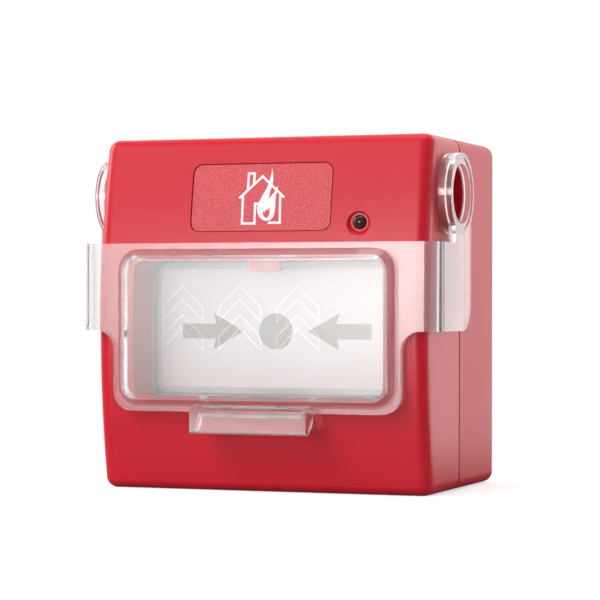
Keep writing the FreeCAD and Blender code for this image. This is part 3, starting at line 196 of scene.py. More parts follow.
# %% [markdown]
# ## Lamps
#
# The lamps are area lamps of the size of real softboxes, because small ones would leave hard spots on
# the gloss. Their strength is given as radiance, so a lamp looks equally bright whatever its size. The
# softbox in front makes the front's pale gradient, the left lamp and the right strip draw the bright
# lines along the upright edges, and the top lamp lights the top. The fills only lighten what the
# others leave too dark, so they aren't mirrored.

# %% Place the lamps
LAMPS_AIM = (0, -30, 0)


def soft_lamp(name, azimuth, elevation, distance, size, radiance, mirrored):
    """A rectangular lamp that faces the object. Azimuth 0 is in front, 90 degrees on the right."""
    across, up = math.radians(azimuth), math.radians(elevation)
    side, front = math.sin(across) * math.cos(up), -math.cos(across) * math.cos(up)
    place = Vector((side, front, math.sin(up))) * distance
    data = bpy.data.lights.new(name, "AREA")
    data.shape = "RECTANGLE"
    data.size, data.size_y = size
    data.energy = radiance * math.pi * size[0] * size[1]
    lamp = bpy.data.objects.new(name, data)
    bpy.context.scene.collection.objects.link(lamp)
    lamp.location = Vector(LAMPS_AIM) * MM + place
    lamp.rotation_euler = (-place).to_track_quat("-Z", "Y").to_euler()
    lamp.visible_camera = False
    lamp.visible_glossy = mirrored
    lamp.visible_transmission = False
    return lamp


softbox = soft_lamp("front_softbox", -12, 6, 1.1, (0.95, 0.51), 7.6, True)
softbox.visible_transmission = True
soft_lamp("front_fill", -32, 38, 1.3, (0.7, 0.7), 7.0, False)
soft_lamp("left_lamp", -90, 25, 1.3, (0.4, 0.9), 6.0, True)
soft_lamp("right_strip", 128, 5, 1.3, (0.3, 1.0), 3.5, True)
soft_lamp("right_fill", 95, 10, 1.3, (0.7, 0.7), 2.6, False)
soft_lamp("top_lamp", 5, 88, 1.3, (0.8, 0.8), 2.0, True)

# %% [markdown]
# A real softbox is brightest at its middle, and the gradient on the front is the image of that. The
# lamp's strength therefore fades towards each of its sides, over a share of its width or height. A
# gradient painted on the plastic would look the same from one side only.
#
# The eye may see the softbox through the clear cover. Matt surfaces behind the cover get its light by
# shadow rays, which the clear plastic lets pass, so rays that start on a matt surface must not find
# the lamp a second time through the plastic.


# %% Shape the softbox
def dim_by(data, factor):
    """Multiply a lamp's strength by what a node puts out."""
    tree = data.node_tree
    strength = next(node for node in tree.nodes if node.type == "EMISSION").inputs["Strength"]
    before = strength.links[0].from_socket if strength.links else 1.0
    product = add(tree, "ShaderNodeMath", {0: before, 1: factor}, operation="MULTIPLY")
    tree.links.new(product.outputs[0], strength)


def fade_side(data, axis, dark_at, full_at, darkest=0.0):
    """Dim a lamp towards one side. 0 and 1 are the ends of its width, X, or of its height, Y."""
    tree = data.node_tree
    face = add(tree, "ShaderNodeNewGeometry")
    axes = add(tree, "ShaderNodeSeparateXYZ", {0: face.outputs["Parametric"]})
    ramp = add(tree, "ShaderNodeMapRange",
               {"Value": axes.outputs[axis], "From Min": dark_at, "From Max": full_at,
                "To Min": darkest, "To Max": 1.0}, interpolation_type="SMOOTHSTEP")
    dim_by(data, ramp.outputs[0])


def hide_behind_clear(data):
    """Switch a lamp off for rays that met a matt surface before they passed clear plastic."""
    tree = data.node_tree
    rays = add(tree, "ShaderNodeLightPath")
    passed = add(tree, "ShaderNodeMath", {0: rays.outputs["Is Transmission Ray"],
                                          1: rays.outputs["Diffuse Depth"]},
                 operation="MULTIPLY", use_clamp=True)
    kept = add(tree, "ShaderNodeMath", {0: 1.0, 1: passed.outputs[0]}, operation="SUBTRACT")
    dim_by(data, kept.outputs[0])


SOFTBOX_FADES = (("X", 0, 0.5, 0.08), ("X", 1, 0.9, 0.0), ("Y", 0, 0.33, 0.0), ("Y", 1, 0.615, 0.0))

softbox.data.use_nodes = True
for axis, dark_at, full_at, darkest in SOFTBOX_FADES:
    fade_side(softbox.data, axis, dark_at, full_at, darkest)
hide_behind_clear(softbox.data)
print("softbox nodes:", len(softbox.data.node_tree.nodes))

# %% [markdown]
# ## Floor
#
# The object stands on white paper. To the camera the floor is pale and glows a little, so it is white
# but for the soft shadow close to the object, and it fades out well before a horizon could show. A
# brighter lamp would make it white too, but it would also bleach the object. To all other rays the
# floor is darker, so that the edges which face down stay deep red.

# %% Lay the floor
FLOOR_HALF, FLOOR_GAP = 3.0, 0.05
FLOOR_PALE, FLOOR_DARK = 0.82, 0.25
FLOOR_GLOW = 0.50
FADE_FROM, FADE_TO = 0.07, 0.17

floor_mesh = bpy.data.meshes.new("floor")
bm = bmesh.new()
bmesh.ops.create_grid(bm, x_segments=1, y_segments=1, size=FLOOR_HALF)
bmesh.ops.translate(bm, verts=bm.verts, vec=(0, 0, cad_box[0].z - FLOOR_GAP * MM))
bm.to_mesh(floor_mesh)
bm.free()
floor = bpy.data.objects.new("floor", floor_mesh)
bpy.context.scene.collection.objects.link(floor)

paper = bpy.data.materials.new("white_paper")
paper.use_nodes = True
tree = paper.node_tree
tree.nodes.clear()
to_camera = add(tree, "ShaderNodeLightPath").outputs["Is Camera Ray"]
shade = add(tree, "ShaderNodeMix", {"Factor": to_camera, "A": FLOOR_DARK, "B": FLOOR_PALE})
matt = add(tree, "ShaderNodeBsdfDiffuse", {"Color": shade.outputs["Result"]})
share = add(tree, "ShaderNodeMath", {0: to_camera, 1: FLOOR_GLOW}, operation="MULTIPLY")
glow = add(tree, "ShaderNodeEmission", {"Strength": share.outputs[0]})
both = add(tree, "ShaderNodeAddShader", {0: matt.outputs[0], 1: glow.outputs[0]})
place = add(tree, "ShaderNodeTexCoord")
reach = add(tree, "ShaderNodeVectorMath", {0: place.outputs["Object"]}, operation="LENGTH")
fade = add(tree, "ShaderNodeMapRange",
           {"Value": reach.outputs["Value"], "From Min": FADE_FROM, "From Max": FADE_TO},
           interpolation_type="SMOOTHSTEP")
gone = add(tree, "ShaderNodeBsdfTransparent")
mixed = add(tree, "ShaderNodeMixShader", {0: fade.outputs[0], 1: both.outputs[0], 2: gone.outputs[0]})
add(tree, "ShaderNodeOutputMaterial", {"Surface": mixed.outputs[0]})
floor_mesh.materials.append(paper)
print("floor at", round(cad_box[0].z / MM, 2), "mm")

# %% [markdown]
# ## How the finishes are made
#
# Every moulded surface carries a very fine texture from its tool, and it is never quite even in gloss
# either. Each material could hold its own noises for that. One node group that every plastic shares
# is shorter, and each material still chooses how strong its grain is. The group puts out a roughness
# and a normal, nothing else.

# %% Fine moulded texture
CLOUDS_PER_METRE = 55.0


def socket(group, name, kind, direction, value=None):
    """Give a node group one more input or output."""
    item = group.interface.new_socket(name=name, in_out=direction, socket_type=kind)
    if value is not None:
        item.default_value = value


grain = bpy.data.node_groups.new("moulded_grain", "ShaderNodeTree")
for name, value in (("Roughness", 0.35), ("Unevenness", 0.05), ("Grain size mm", 0.12),
                    ("Grain depth mm", 0.004)):
    socket(grain, name, "NodeSocketFloat", "INPUT", value)
socket(grain, "Roughness", "NodeSocketFloat", "OUTPUT")
socket(grain, "Normal", "NodeSocketVector", "OUTPUT")
given = add(grain, "NodeGroupInput")
place = add(grain, "ShaderNodeTexCoord")
cloud = add(grain, "ShaderNodeTexNoise", {"Vector": place.outputs["Object"], "Scale": CLOUDS_PER_METRE,
                                          "Detail": 3.0})
centred = add(grain, "ShaderNodeMath", {0: cloud.outputs[0], 1: 0.5}, operation="SUBTRACT")
swing = add(grain, "ShaderNodeMath", {0: centred.outputs[0], 1: given.outputs["Unevenness"]},
            operation="MULTIPLY")
rough = add(grain, "ShaderNodeMath", {0: swing.outputs[0], 1: given.outputs["Roughness"]}, operation="ADD")
per_metre = add(grain, "ShaderNodeMath", {0: MM_PER_METRE, 1: given.outputs["Grain size mm"]},
                operation="DIVIDE")
fine = add(grain, "ShaderNodeTexNoise", {"Vector": place.outputs["Object"],
                                         "Scale": per_metre.outputs[0], "Detail": 2.0})
metres = add(grain, "ShaderNodeMath", {0: given.outputs["Grain depth mm"], 1: MM}, operation="MULTIPLY")
bump = add(grain, "ShaderNodeBump", {"Strength": 1.0, "Distance": metres.outputs[0],
                                     "Height": fine.outputs[0]})
add(grain, "NodeGroupOutput", {"Roughness": rough.outputs[0], "Normal": bump.outputs[0]})
print("node group:", grain.name)

# %% [markdown]
# ## Moulded plastics
#
# A material is one Principled shader with the grain group in front of it. The colour of a moulding
# drifts a little with the flow of the plastic. A flat colour would look like paint, so a slow noise
# mixes two near tones. Numbers that are the same all over the surface are set on the shader's own
# sockets.


# %% A moulded plastic
def new_material(name):
    """A material with a Principled shader alone, its node tree and that shader."""
    material = bpy.data.materials.new(name)
    material.use_nodes = True
    tree = material.node_tree
    tree.nodes.clear()
    shader = add(tree, "ShaderNodeBsdfPrincipled")
    add(tree, "ShaderNodeOutputMaterial", {"Surface": shader.outputs[0]})
    return material, tree, shader


def mixed_colour(tree, factor, first, second):
    """Two colours, or sockets that give them, mixed by a factor."""
    mixed = add(tree, "ShaderNodeMix", {"Factor": factor, "A": first, "B": second}, data_type="RGBA")
    return mixed.outputs["Result"]


def drifting_colour(tree, colour, drift, size):
    """A colour that drifts by a share of itself over patches of a size in millimetres."""
    place = add(tree, "ShaderNodeTexCoord")
    cloud = add(tree, "ShaderNodeTexNoise", {"Vector": place.outputs["Object"],
                                             "Scale": MM_PER_METRE / size, "Detail": 3.0})
    dark = tuple(part * (1 - drift) for part in colour) + (1.0,)
    light = tuple(min(part * (1 + drift), 1.0) for part in colour) + (1.0,)
    return mixed_colour(tree, cloud.outputs[0], dark, light)


def put_grain(tree, shader, roughness, unevenness=0.05, grain_size=0.12, grain_depth=0.004):
    """Feed a shader's roughness and normal from the grain group. Its sizes are in millimetres."""
    node = add(tree, "ShaderNodeGroup", {"Roughness": roughness, "Unevenness": unevenness,
                                         "Grain size mm": grain_size, "Grain depth mm": grain_depth},
               node_tree=grain)
    tree.links.new(node.outputs["Roughness"], shader.inputs["Roughness"])
    tree.links.new(node.outputs["Normal"], shader.inputs["Normal"])


def moulded(name, colour, roughness, drift=0.03, patch=18, ior=1.5, **texture):
    """A moulded plastic: a colour that drifts over patches, under a fine grain."""
    material, tree, shader = new_material(name)
    tree.links.new(drifting_colour(tree, colour, drift, patch), shader.inputs["Base Color"])
    shader.inputs["IOR"].default_value = ior
    put_grain(tree, shader, roughness, **texture)
    return material


FRONT_RED = (0.62, 0.010, 0.026)
BOX_RED = (0.60, 0.012, 0.026)

bezel_plastic = moulded("bezel_plastic", FRONT_RED, 0.34)
box_plastic = moulded("box_plastic", BOX_RED, 0.42, grain_depth=0.008)
white_plastic = moulded("white_plastic", (0.80, 0.795, 0.79), 0.45, drift=0.01)
grey_plastic = moulded("grey_plastic", (0.42, 0.42, 0.44), 0.45)
chassis_plastic = moulded("chassis_plastic", (0.66, 0.655, 0.65), 0.5, grain_size=0.3, grain_depth=0.01)
cam_plastic = moulded("cam_plastic", (0.03, 0.03, 0.032), 0.35)
switch_plastic = moulded("switch_plastic", (0.04, 0.04, 0.045), 0.4)
plunger_plastic = moulded("plunger_plastic", (0.62, 0.06, 0.05), 0.3)
terminal_plastic = moulded("terminal_plastic", (0.03, 0.2, 0.09), 0.42, grain_size=0.2, grain_depth=0.01)
print("plastics:", [item.name for item in bpy.data.materials if item.name.endswith("plastic")])

# %% [markdown]
# ## Label plate
#
# The pictogram sits on a thin plate with a grainy surface, a spark texture whose tiny faces catch the light
# as fine bright specks. A bump alone would be lost at this distance, so these glints are painted into the
# colour: a tight noise, sharpened between two limits, mixes the plate's red with a paler red of painted
# highlight, and a deeper grain than usual breaks up the real highlight.

# %% Grained label plate with painted glints
# The paler red is a painted highlight: the grain's glints, put into the colour.
GLINT_SPECKS_PER_METRE = 3200.0
GLINT_FROM, GLINT_TO = 0.38, 0.66
LABEL_DARK, LABEL_PAINTED_GLINT = (0.60, 0.045, 0.06, 1), (0.74, 0.12, 0.14, 1)

label_plastic, tree, shader = new_material("label_plastic")
place = add(tree, "ShaderNodeTexCoord")
# Painted highlight: this noise says where the grain's glints are painted.
grain_glints = add(tree, "ShaderNodeTexNoise", {"Vector": place.outputs["Object"], "Scale": GLINT_SPECKS_PER_METRE,
                                          "Detail": 2.0})
glint_mask = add(tree, "ShaderNodeMapRange", {"Value": grain_glints.outputs[0], "From Min": GLINT_FROM,
                                             "From Max": GLINT_TO})
tree.links.new(mixed_colour(tree, glint_mask.outputs[0], LABEL_DARK, LABEL_PAINTED_GLINT), shader.inputs["Base Color"])
put_grain(tree, shader, 0.5, unevenness=0.1, grain_size=0.3, grain_depth=0.03)
print("specks per metre:", GLINT_SPECKS_PER_METRE)

# %% [markdown]
# ## Clear cover
#
# The cover is moulded in clear polycarbonate and looks a little milky. Plain see-through alpha would
# look like a film without thickness, so the cover is glass to the shader: a transmission a little
# under one gives some milkiness, and a soft coat adds the veil that the big lamp leaves on it. The
# real plastic bends light more than the index used here. A lower one traps less light in the thin
# wings, and the coat still mirrors as the real surface does.
#
# Lamp rays must reach the plate behind the cover, but in Cycles glass blocks them. Rays that look for
# a lamp therefore meet a grey transparent shader, which lets half of the light pass at each face.

# %% Clear plastic
CLEAR_LOOK = {"Base Color": (0.985, 0.985, 0.985, 1), "IOR": 1.35, "Transmission Weight": 0.94,
              "Coat Weight": 0.5, "Coat IOR": 1.5, "Coat Roughness": 0.14}
LAMP_SHARE = (0.50, 0.50, 0.50, 1)

clear_plastic, tree, shader = new_material("clear_plastic")
for name, value in CLEAR_LOOK.items():
    shader.inputs[name].default_value = value
put_grain(tree, shader, 0.02, unevenness=0.02, grain_size=6.0, grain_depth=0.004)
rays = add(tree, "ShaderNodeLightPath")
passing = add(tree, "ShaderNodeBsdfTransparent", {"Color": LAMP_SHARE})
choice = add(tree, "ShaderNodeMixShader", {0: rays.outputs["Is Shadow Ray"], 1: shader.outputs[0],
                                           2: passing.outputs[0]})
output = next(node for node in tree.nodes if node.type == "OUTPUT_MATERIAL")
tree.links.new(choice.outputs[0], output.inputs["Surface"])
print("clear plastic:", CLEAR_LOOK)

# %% [markdown]
# ## Metals
#
# The screws are zinc plated, the clamps plated brass and the switch lever spring steel. Metal parts
# from bar and strip have fine drawn lines. An anisotropic shader can show those, but it needs a
# direction over the whole surface. A noise stretched along one axis does as well here: it sets the
# gloss line by line.

# %% Metals
SMOOTHEST, ROUGHEST = 0.7, 1.4
TARNISH, TARNISH_PATCH = 0.06, 3


def metal(name, colour, roughness, stretch=(40, 4000, 40)):
    """A metal whose gloss changes fast along one axis and slowly along the others."""
    material, tree, shader = new_material(name)
    shader.inputs["Metallic"].default_value = 1.0
    place = add(tree, "ShaderNodeTexCoord")
    pulled = add(tree, "ShaderNodeMapping", {"Vector": place.outputs["Object"], "Scale": stretch})
    lines = add(tree, "ShaderNodeTexNoise", {"Vector": pulled.outputs[0], "Scale": 1.0, "Detail": 3.0})
    gloss = add(tree, "ShaderNodeMapRange", {"Value": lines.outputs[0],
                                             "To Min": roughness * SMOOTHEST, "To Max": roughness * ROUGHEST})
    tree.links.new(gloss.outputs[0], shader.inputs["Roughness"])
    tree.links.new(drifting_colour(tree, colour, TARNISH, TARNISH_PATCH), shader.inputs["Base Color"])
    return material


screw_steel = metal("screw_steel", (0.62, 0.62, 0.63), 0.3)
spring_steel = metal("spring_steel", (0.66, 0.66, 0.65), 0.22, stretch=(40, 40, 4000))
terminal_brass = metal("terminal_brass", (0.72, 0.6, 0.34), 0.25)
tinned_brass = metal("tinned_brass", (0.7, 0.69, 0.6), 0.28)
print("metals:", [item.name for item in (screw_steel, spring_steel, terminal_brass, tinned_brass)])

# %% [markdown]
# ## Circuit board
#
# The board is green laminate with copper tracks that show as lighter green lines under the lacquer,
# and tinned pads in a grid. It is only seen when the unit is open, or through the cable entry, so a
# real layout isn't worth drawing and a pattern of the right scale is enough. The tracks are two sets
# of thin bands, upright and level, and a noise with hard edges says which set runs where. The same
# noise says where the pads are.

# %% Tracks and pads
TRACK_PITCH, PAD_PITCH = 1.5, 2.54
WAVE_RADIANS = 20
BAND_FROM, BAND_TO = 0.80, 0.90
AREAS_PER_METRE, UPRIGHT_BELOW, PADS_ABOVE = 110.0, 0.5, 0.56
PAD_RADIUS = 0.24
LACQUER, COVERED_COPPER = (0.012, 0.13, 0.05, 1), (0.05, 0.30, 0.12, 1)
SOLDER = (0.55, 0.56, 0.54, 1)

board_laminate, tree, shader = new_material("board_laminate")
place = add(tree, "ShaderNodeTexCoord")


def thin_bands(direction):
    """Bands a track pitch apart: a wave texture turns by so many radians in a unit at scale one."""
    wave = add(tree, "ShaderNodeTexWave",
               {"Vector": place.outputs["Object"], "Scale": 2 * math.pi / (WAVE_RADIANS * TRACK_PITCH * MM)},
               bands_direction=direction)
    return add(tree, "ShaderNodeMapRange", {"Value": wave.outputs["Fac"], "From Min": BAND_FROM,
                                            "From Max": BAND_TO})


upright, level = thin_bands("X"), thin_bands("Z")
areas = add(tree, "ShaderNodeTexNoise", {"Vector": place.outputs["Object"], "Scale": AREAS_PER_METRE,
                                         "Detail": 0.0})
chosen = add(tree, "ShaderNodeMath", {0: areas.outputs[0], 1: UPRIGHT_BELOW}, operation="GREATER_THAN")
tracks = add(tree, "ShaderNodeMix", {"Factor": chosen.outputs[0], "A": upright.outputs[0],
                                     "B": level.outputs[0]})
copper = mixed_colour(tree, tracks.outputs[0], LACQUER, COVERED_COPPER)
flat = add(tree, "ShaderNodeMapping", {"Vector": place.outputs["Object"], "Scale": (1, 0, 1)})
grid = add(tree, "ShaderNodeTexVoronoi", {"Vector": flat.outputs[0], "Scale": MM_PER_METRE / PAD_PITCH,
                                          "Randomness": 0.0})
round_pads = add(tree, "ShaderNodeMath", {0: grid.outputs["Distance"], 1: PAD_RADIUS}, operation="LESS_THAN")
soldered = add(tree, "ShaderNodeMath", {0: areas.outputs[0], 1: PADS_ABOVE}, operation="GREATER_THAN")
pads = add(tree, "ShaderNodeMath", {0: round_pads.outputs[0], 1: soldered.outputs[0]}, operation="MULTIPLY")
tree.links.new(mixed_colour(tree, pads.outputs[0], copper, SOLDER), shader.inputs["Base Color"])
put_grain(tree, shader, 0.28, unevenness=0.1)
print("board: tracks", TRACK_PITCH, "mm apart, pads", PAD_PITCH, "mm apart")

# %% [markdown]
# ## Stripes
#
# The alarm flag carries yellow and black diagonal stripes, and the resistors plain coloured bands.
# They could be printed shapes like the marks on the plate, but both are just bands across a surface,
# so one helper makes them in the colour: it reads how far along a direction a point lies and picks a
# colour by the part of the stripe it falls in.


# %% Stripes and bands
def banded(name, colours, pitch, slant, roughness):
    """Bands of equal width across X, turned by a slant in degrees about Y."""
    material, tree, shader = new_material(name)
    place = add(tree, "ShaderNodeTexCoord")
    turned = add(tree, "ShaderNodeMapping", {"Vector": place.outputs["Object"],
                                             "Rotation": (0, math.radians(slant), 0)})
    split = add(tree, "ShaderNodeSeparateXYZ", {0: turned.outputs[0]})
    steps = add(tree, "ShaderNodeMath", {0: split.outputs["X"], 1: pitch * MM}, operation="DIVIDE")
    part = add(tree, "ShaderNodeMath", {0: steps.outputs[0]}, operation="FRACT")
    ramp = add(tree, "ShaderNodeValToRGB", {"Fac": part.outputs[0]})
    ramp.color_ramp.interpolation = "CONSTANT"
    while len(ramp.color_ramp.elements) < len(colours):
        ramp.color_ramp.elements.new(0.5)
    for index, colour in enumerate(colours):
        ramp.color_ramp.elements[index].position = index / len(colours)
        ramp.color_ramp.elements[index].color = colour + (1,)
    tree.links.new(ramp.outputs[0], shader.inputs["Base Color"])
    put_grain(tree, shader, roughness)
    return material


YELLOW, BLACK = (0.80, 0.56, 0.02), (0.02, 0.02, 0.02)
TAN, BROWN = (0.62, 0.46, 0.26), (0.20, 0.08, 0.03)

flag_plastic = banded("flag_plastic", [YELLOW, BLACK], 7.0, 45, 0.4)
resistor_body = banded("resistor_body", [TAN, BROWN, TAN, TAN, BROWN], 3.5, 0, 0.35)
print("banded:", flag_plastic.name, resistor_body.name)

# %% [markdown]
# ## Lens and diode
#
# The indicator is a small dark dome of smoked plastic with a sharp highlight, and the diode behind it
# is clear red epoxy. Both could be glass, but nothing lit lies behind them, so dark gloss plastic
# looks the same and renders faster. With these, every node of the frame has its finish.

# %% Finish the nodes
smoked_lens = moulded("smoked_lens", (0.045, 0.022, 0.02), 0.08, unevenness=0.02, ior=1.58)
led_epoxy = moulded("led_epoxy", (0.6, 0.05, 0.04), 0.1, ior=1.55)

FINISH = {
    "back_box": box_plastic, "bezel": bezel_plastic, "pictogram_plate": label_plastic,
    "light_pipe": smoked_lens, "status_led": led_epoxy, "press_plate": white_plastic,
    "plate_carrier": grey_plastic, "indicator_flag": flag_plastic, "reset_cam": cam_plastic,
    "chassis": chassis_plastic, "circuit_board": board_laminate, "microswitch_case": switch_plastic,
    "switch_lever": spring_steel, "switch_plunger": plunger_plastic, "switch_pins": tinned_brass,
    "terminal_block": terminal_plastic, "terminal_clamps": terminal_brass,
    "terminal_screws": screw_steel, "chassis_screws": screw_steel, "board_screws": screw_steel,
    "lock_screws": screw_steel, "resistors": resistor_body, "hinged_cover": clear_plastic,
}
for node, material in FINISH.items():
    mesh = frame["nodes"][node].data
    mesh.materials.clear()
    mesh.materials.append(material)
print("finished nodes:", len(FINISH))

# %% [markdown]
# ## Smooth copies
#
# A CAD solid comes as loose flat triangles. On a gloss front with a large radius, and above all in
# clear plastic, the facets show. A subdivision surface would round them, but it would also move the
# faces. Here the points that lie together are merged, edges with a small angle are made smooth, and
# the normals are evened by the area of the faces. No point moves, so these copies stand for their
# nodes.

# %% Copy and smooth a node
SAME_POINT = 0.002
LARGE_FACE_WEIGHT = 80
SMOOTHED = {"bezel": 28, "back_box": 28, "hinged_cover": 28, "pictogram_plate": 28, "light_pipe": 28,
            "press_plate": 20, "reset_cam": 28, "lock_screws": 28}


def smooth_copy(node, name, sharp_degrees):
    """A smooth copy that stands for a node. Edges that turn by more than an angle stay sharp."""
    mesh = frame["nodes"][node].data.copy()
    mesh.name = name
    bm = bmesh.new()
    bm.from_mesh(mesh)
    bmesh.ops.remove_doubles(bm, verts=bm.verts, dist=SAME_POINT * MM)
    bmesh.ops.dissolve_degenerate(bm, edges=bm.edges, dist=SAME_POINT * MM)
    limit = math.radians(sharp_degrees)
    for face in bm.faces:
        face.smooth = True
    for edge in bm.edges:
        edge.smooth = len(edge.link_faces) == 2 and edge.calc_face_angle(0) < limit
    bm.to_mesh(mesh)
    bm.free()
    copy = bpy.data.objects.new(name, mesh)
    bpy.context.scene.collection.objects.link(copy)
    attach(copy, frame["nodes"][node]["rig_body"])
    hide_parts(node)
    evened = copy.modifiers.new("evened_normals", "WEIGHTED_NORMAL")
    evened.mode, evened.weight, evened.keep_sharp = "FACE_AREA", LARGE_FACE_WEIGHT, True
    return copy


for node, sharp_degrees in SMOOTHED.items():
    copy = smooth_copy(node, f"{node}_moulding", sharp_degrees)
    print(copy.name, len(copy.data.polygons), "faces")

# %% [markdown]
# ## Printed marks on the plate
#
# Two arrows and a dot are printed in warm grey where the plate is to be pressed. A mask in the
# plate's material could draw them, but thin solids keep their edges sharp and stay shapes in every
# export. Each is a flat outline, or a circle, given the thickness of ink. The ink starts a hair
# inside the plate's face, and it moves in with the plate.

# %% Thin shapes of ink
INK, SUNK = 0.05, 0.01
ROUND_SEGMENTS = 64


def thicken(bm, face, thickness):
    """Give a flat face a thickness in millimetres towards the front."""
    grown = bmesh.ops.extrude_face_region(bm, geom=[face])["geom"]
    bmesh.ops.translate(bm, verts=[item for item in grown if isinstance(item, bmesh.types.BMVert)],
                        vec=(0, -thickness * MM, 0))


def add_plate(bm, points, face_y, thickness):
    """A flat plate from (x, z) points in millimetres, standing out from face_y towards the front."""
    corners = [bm.verts.new((x * MM, face_y * MM, z * MM)) for x, z in points]
    thicken(bm, bm.faces.new(corners), thickness)


def add_round(bm, x, z, radius, face_y, thickness):
    """A round plate, from a circle turned to face the front."""
    turned = Matrix.Translation(Vector((x, face_y, z)) * MM) @ Matrix.Rotation(math.radians(90), 4, "X")
    rim = bmesh.ops.create_circle(bm, cap_ends=True, segments=ROUND_SEGMENTS, radius=radius * MM,
                                  matrix=turned)["verts"]
    thicken(bm, rim[0].link_faces[0], thickness)


def solid_from(bm, name, body, material):
    """Make an object from a finished bmesh, with its normals made to point outwards."""
    bmesh.ops.recalc_face_normals(bm, faces=bm.faces)
    mesh = bpy.data.meshes.new(name)
    bm.to_mesh(mesh)
    bm.free()
    mesh.materials.append(material)
    piece = bpy.data.objects.new(name, mesh)
    bpy.context.scene.collection.objects.link(piece)
    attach(piece, body)
    print(piece.name, len(mesh.polygons), "faces")


arrow_ink = moulded("arrow_ink", (0.26, 0.25, 0.225), 0.5, drift=0.04, patch=4)
plate_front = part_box("press_plate")[0].y / MM
print("ink", INK, "mm thick, on the plate's face at", round(plate_front, 2))

# %% Arrows and dot
ARROW_TAIL, ARROW_TIP, ARROW_Z = 25.85, 8.85, -4.5
SHAFT_HALF, HEAD_HALF, HEAD_LENGTH, HEAD_NOTCH = 1.95, 4.7, 8.4, 0.8
DOT_RADIUS = 4.6

bm = bmesh.new()
neck = ARROW_TIP + HEAD_LENGTH
upper_half = [(ARROW_TAIL, SHAFT_HALF), (neck - HEAD_NOTCH, SHAFT_HALF), (neck, HEAD_HALF)]
outline = upper_half + [(ARROW_TIP, 0)] + [(x, -z) for x, z in reversed(upper_half)]
for side in (-1, 1):
    add_plate(bm, [(side * x, ARROW_Z + z) for x, z in outline], plate_front + SUNK, INK)
add_round(bm, 0, ARROW_Z, DOT_RADIUS, plate_front + SUNK, INK)
solid_from(bm, "press_marks", "press", arrow_ink)

# %% [markdown]
# ## Pictogram
#
# The white sign is the plain burning house that all such units carry: an outline of a house with a
# chimney and an open door, and a flame in it. Its lines are ribbons of even width, mitred at their
# corners. A curve with a bevel could draw them, but it rounds its profile, and print is flat.
#
# The label plate is curved with the front. A Shrinkwrap modifier could lay the sign on it, but only
# with many small faces. Here the flat shapes are cut into strips, and each point is set back by what
# the front's radius asks at its height.

# %% Ribbons and the curved front
BLUNTEST_MITRE = 0.3
STRIP_HEIGHT = 1.5


def add_ribbon(bm, points, width, face_y, thickness):
    """An open line of even width through (x, z) points, with mitred corners and square ends."""
    line = [Vector(point) for point in points]
    left, right = [], []
    for index, here in enumerate(line):
        before = (here - line[index - 1]).normalized() if index else None
        after = (line[index + 1] - here).normalized() if index + 1 < len(line) else None
        along = ((before or after) + (after or before)).normalized()
        across = Vector((-along.y, along.x))
        reach = width / 2 / max(along.dot(before or after), BLUNTEST_MITRE)
        left.append(here + across * reach)
        right.append(here - across * reach)
    add_plate(bm, [tuple(point) for point in left + right[::-1]], face_y, thickness)


def wrap_on_front(bm, radius, crown_z, deepest_y):
    """Cut a flat shape across Z and lay it on a cylinder that runs along X."""
    heights = [vert.co.z / MM for vert in bm.verts]
    level = min(heights) + STRIP_HEIGHT
    while level < max(heights):
        bmesh.ops.bisect_plane(bm, geom=bm.verts[:] + bm.edges[:] + bm.faces[:],
                               plane_co=(0, 0, level * MM), plane_no=(0, 0, 1))
        level += STRIP_HEIGHT
    for vert in bm.verts:
        rise = vert.co.z / MM - crown_z
        vert.co.y += (deepest_y + radius - math.sqrt(radius ** 2 - rise ** 2)) * MM


sign_ink = moulded("sign_ink", (0.86, 0.86, 0.85), 0.45, drift=0.02, patch=3)
print("strips", STRIP_HEIGHT, "mm high")

# %% House and flame
FRONT_RADIUS, FRONT_CROWN_Z, FRONT_Y = 200.0, -3.0, -59.5
LABEL_SINK = 0.15
SIGN_LINE = 0.62
CORE_STANDS = 0.6

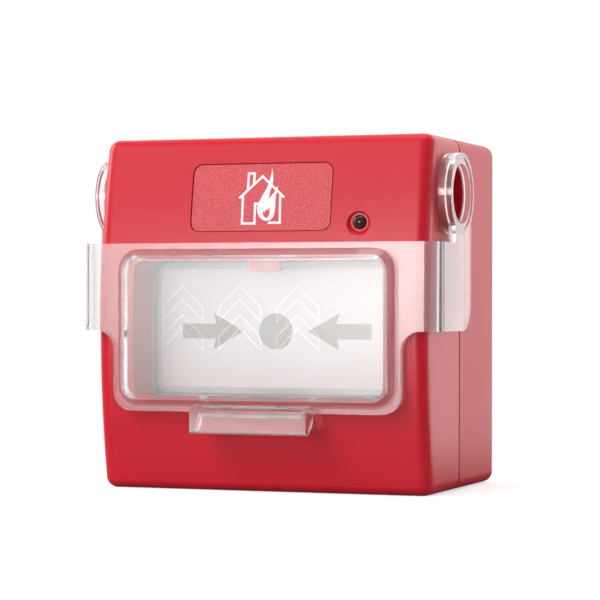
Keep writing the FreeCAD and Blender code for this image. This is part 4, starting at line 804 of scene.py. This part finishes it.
label_radius, label_y = FRONT_RADIUS - LABEL_SINK, FRONT_Y + LABEL_SINK + SUNK
roof = [(-5.95, 29.25), (0.05, 34.75), (6.2, 29.3)]
left_wall = [(-4.95, 30.0), (-4.85, 22.85), (-1.45, 22.8), (-1.55, 27.85), (-0.45, 27.8)]
right_wall = [(2.2, 22.95), (5.35, 22.95), (5.1, 29.9)]
chimney = [(-3.75, 31.4), (-3.75, 35.55), (-2.2, 35.55), (-2.2, 32.8)]
flame_left = [(1.61, 23.43), (0.65, 23.71), (-0.33, 24.54), (-0.92, 25.87), (-0.98, 26.99),
              (-0.62, 28.14), (0.29, 29.83), (1.32, 31.72), (2.01, 33.65), (2.32, 35.36), (2.5, 36.72)]
flame_right = [(2.87, 35.17), (2.99, 33.64), (2.82, 32.45), (2.37, 31.09), (2.07, 29.13),
               (2.55, 29.56), (3.48, 30.74), (4.21, 32.26), (4.37, 31.4), (3.96, 30.05), (3.9, 28.69),
               (3.93, 27.0), (3.84, 25.47), (3.44, 24.23), (2.65, 23.56)]
core = [(1.79, 24.11), (1.08, 24.52), (0.64, 25.27), (0.88, 26.09), (1.2, 25.5), (1.44, 26.42),
        (1.9, 26.01), (2.35, 26.85), (2.49, 25.83), (2.39, 24.91)]

bm = bmesh.new()
for line in (roof, left_wall, right_wall, chimney):
    add_ribbon(bm, line, SIGN_LINE, 0, INK)
add_plate(bm, flame_left + flame_right, 0, INK)
wrap_on_front(bm, label_radius, FRONT_CROWN_Z, label_y)
solid_from(bm, "house_sign", "housing", sign_ink)

bm = bmesh.new()
add_plate(bm, core, 0, INK)
wrap_on_front(bm, label_radius, FRONT_CROWN_Z, label_y - INK * CORE_STANDS)
solid_from(bm, "flame_core", "housing", label_plastic)

# %% [markdown]
# ## Raised outlines on the cover
#
# The clear pane has fine raised outlines moulded into it, which tell the user to lift it. Here they
# are plain chevrons that point up. A bump in the plastic would vanish in an export, so they are
# narrow ridges of the same clear plastic on the pane's face, and ride with the cover.

# %% Lift chevrons
RIDGE, RIDGE_RISE, RIDGE_SUNK = 0.18, 0.06, 0.02
PANE_FACE_Y = -63.8
CHEVRON_MIDDLES, CHEVRON_FEET = (-18.5, -3.0, 12.5), (-9.0, -1.8)
CHEVRON_HALF, CHEVRON_TALL, CHEVRON_THICK = 5.6, 5.4, 3.4

bm = bmesh.new()
for middle in CHEVRON_MIDDLES:
    left, right = middle - CHEVRON_HALF, middle + CHEVRON_HALF
    for foot in CHEVRON_FEET:
        peak = foot + CHEVRON_TALL
        outline = [(left, foot), (middle, peak), (right, foot), (right, foot + CHEVRON_THICK),
                   (middle, peak + CHEVRON_THICK), (left, foot + CHEVRON_THICK), (left, foot)]
        add_ribbon(bm, outline, RIDGE, PANE_FACE_Y + RIDGE_SUNK, RIDGE_RISE)
solid_from(bm, "lift_chevrons", "cover", clear_plastic)
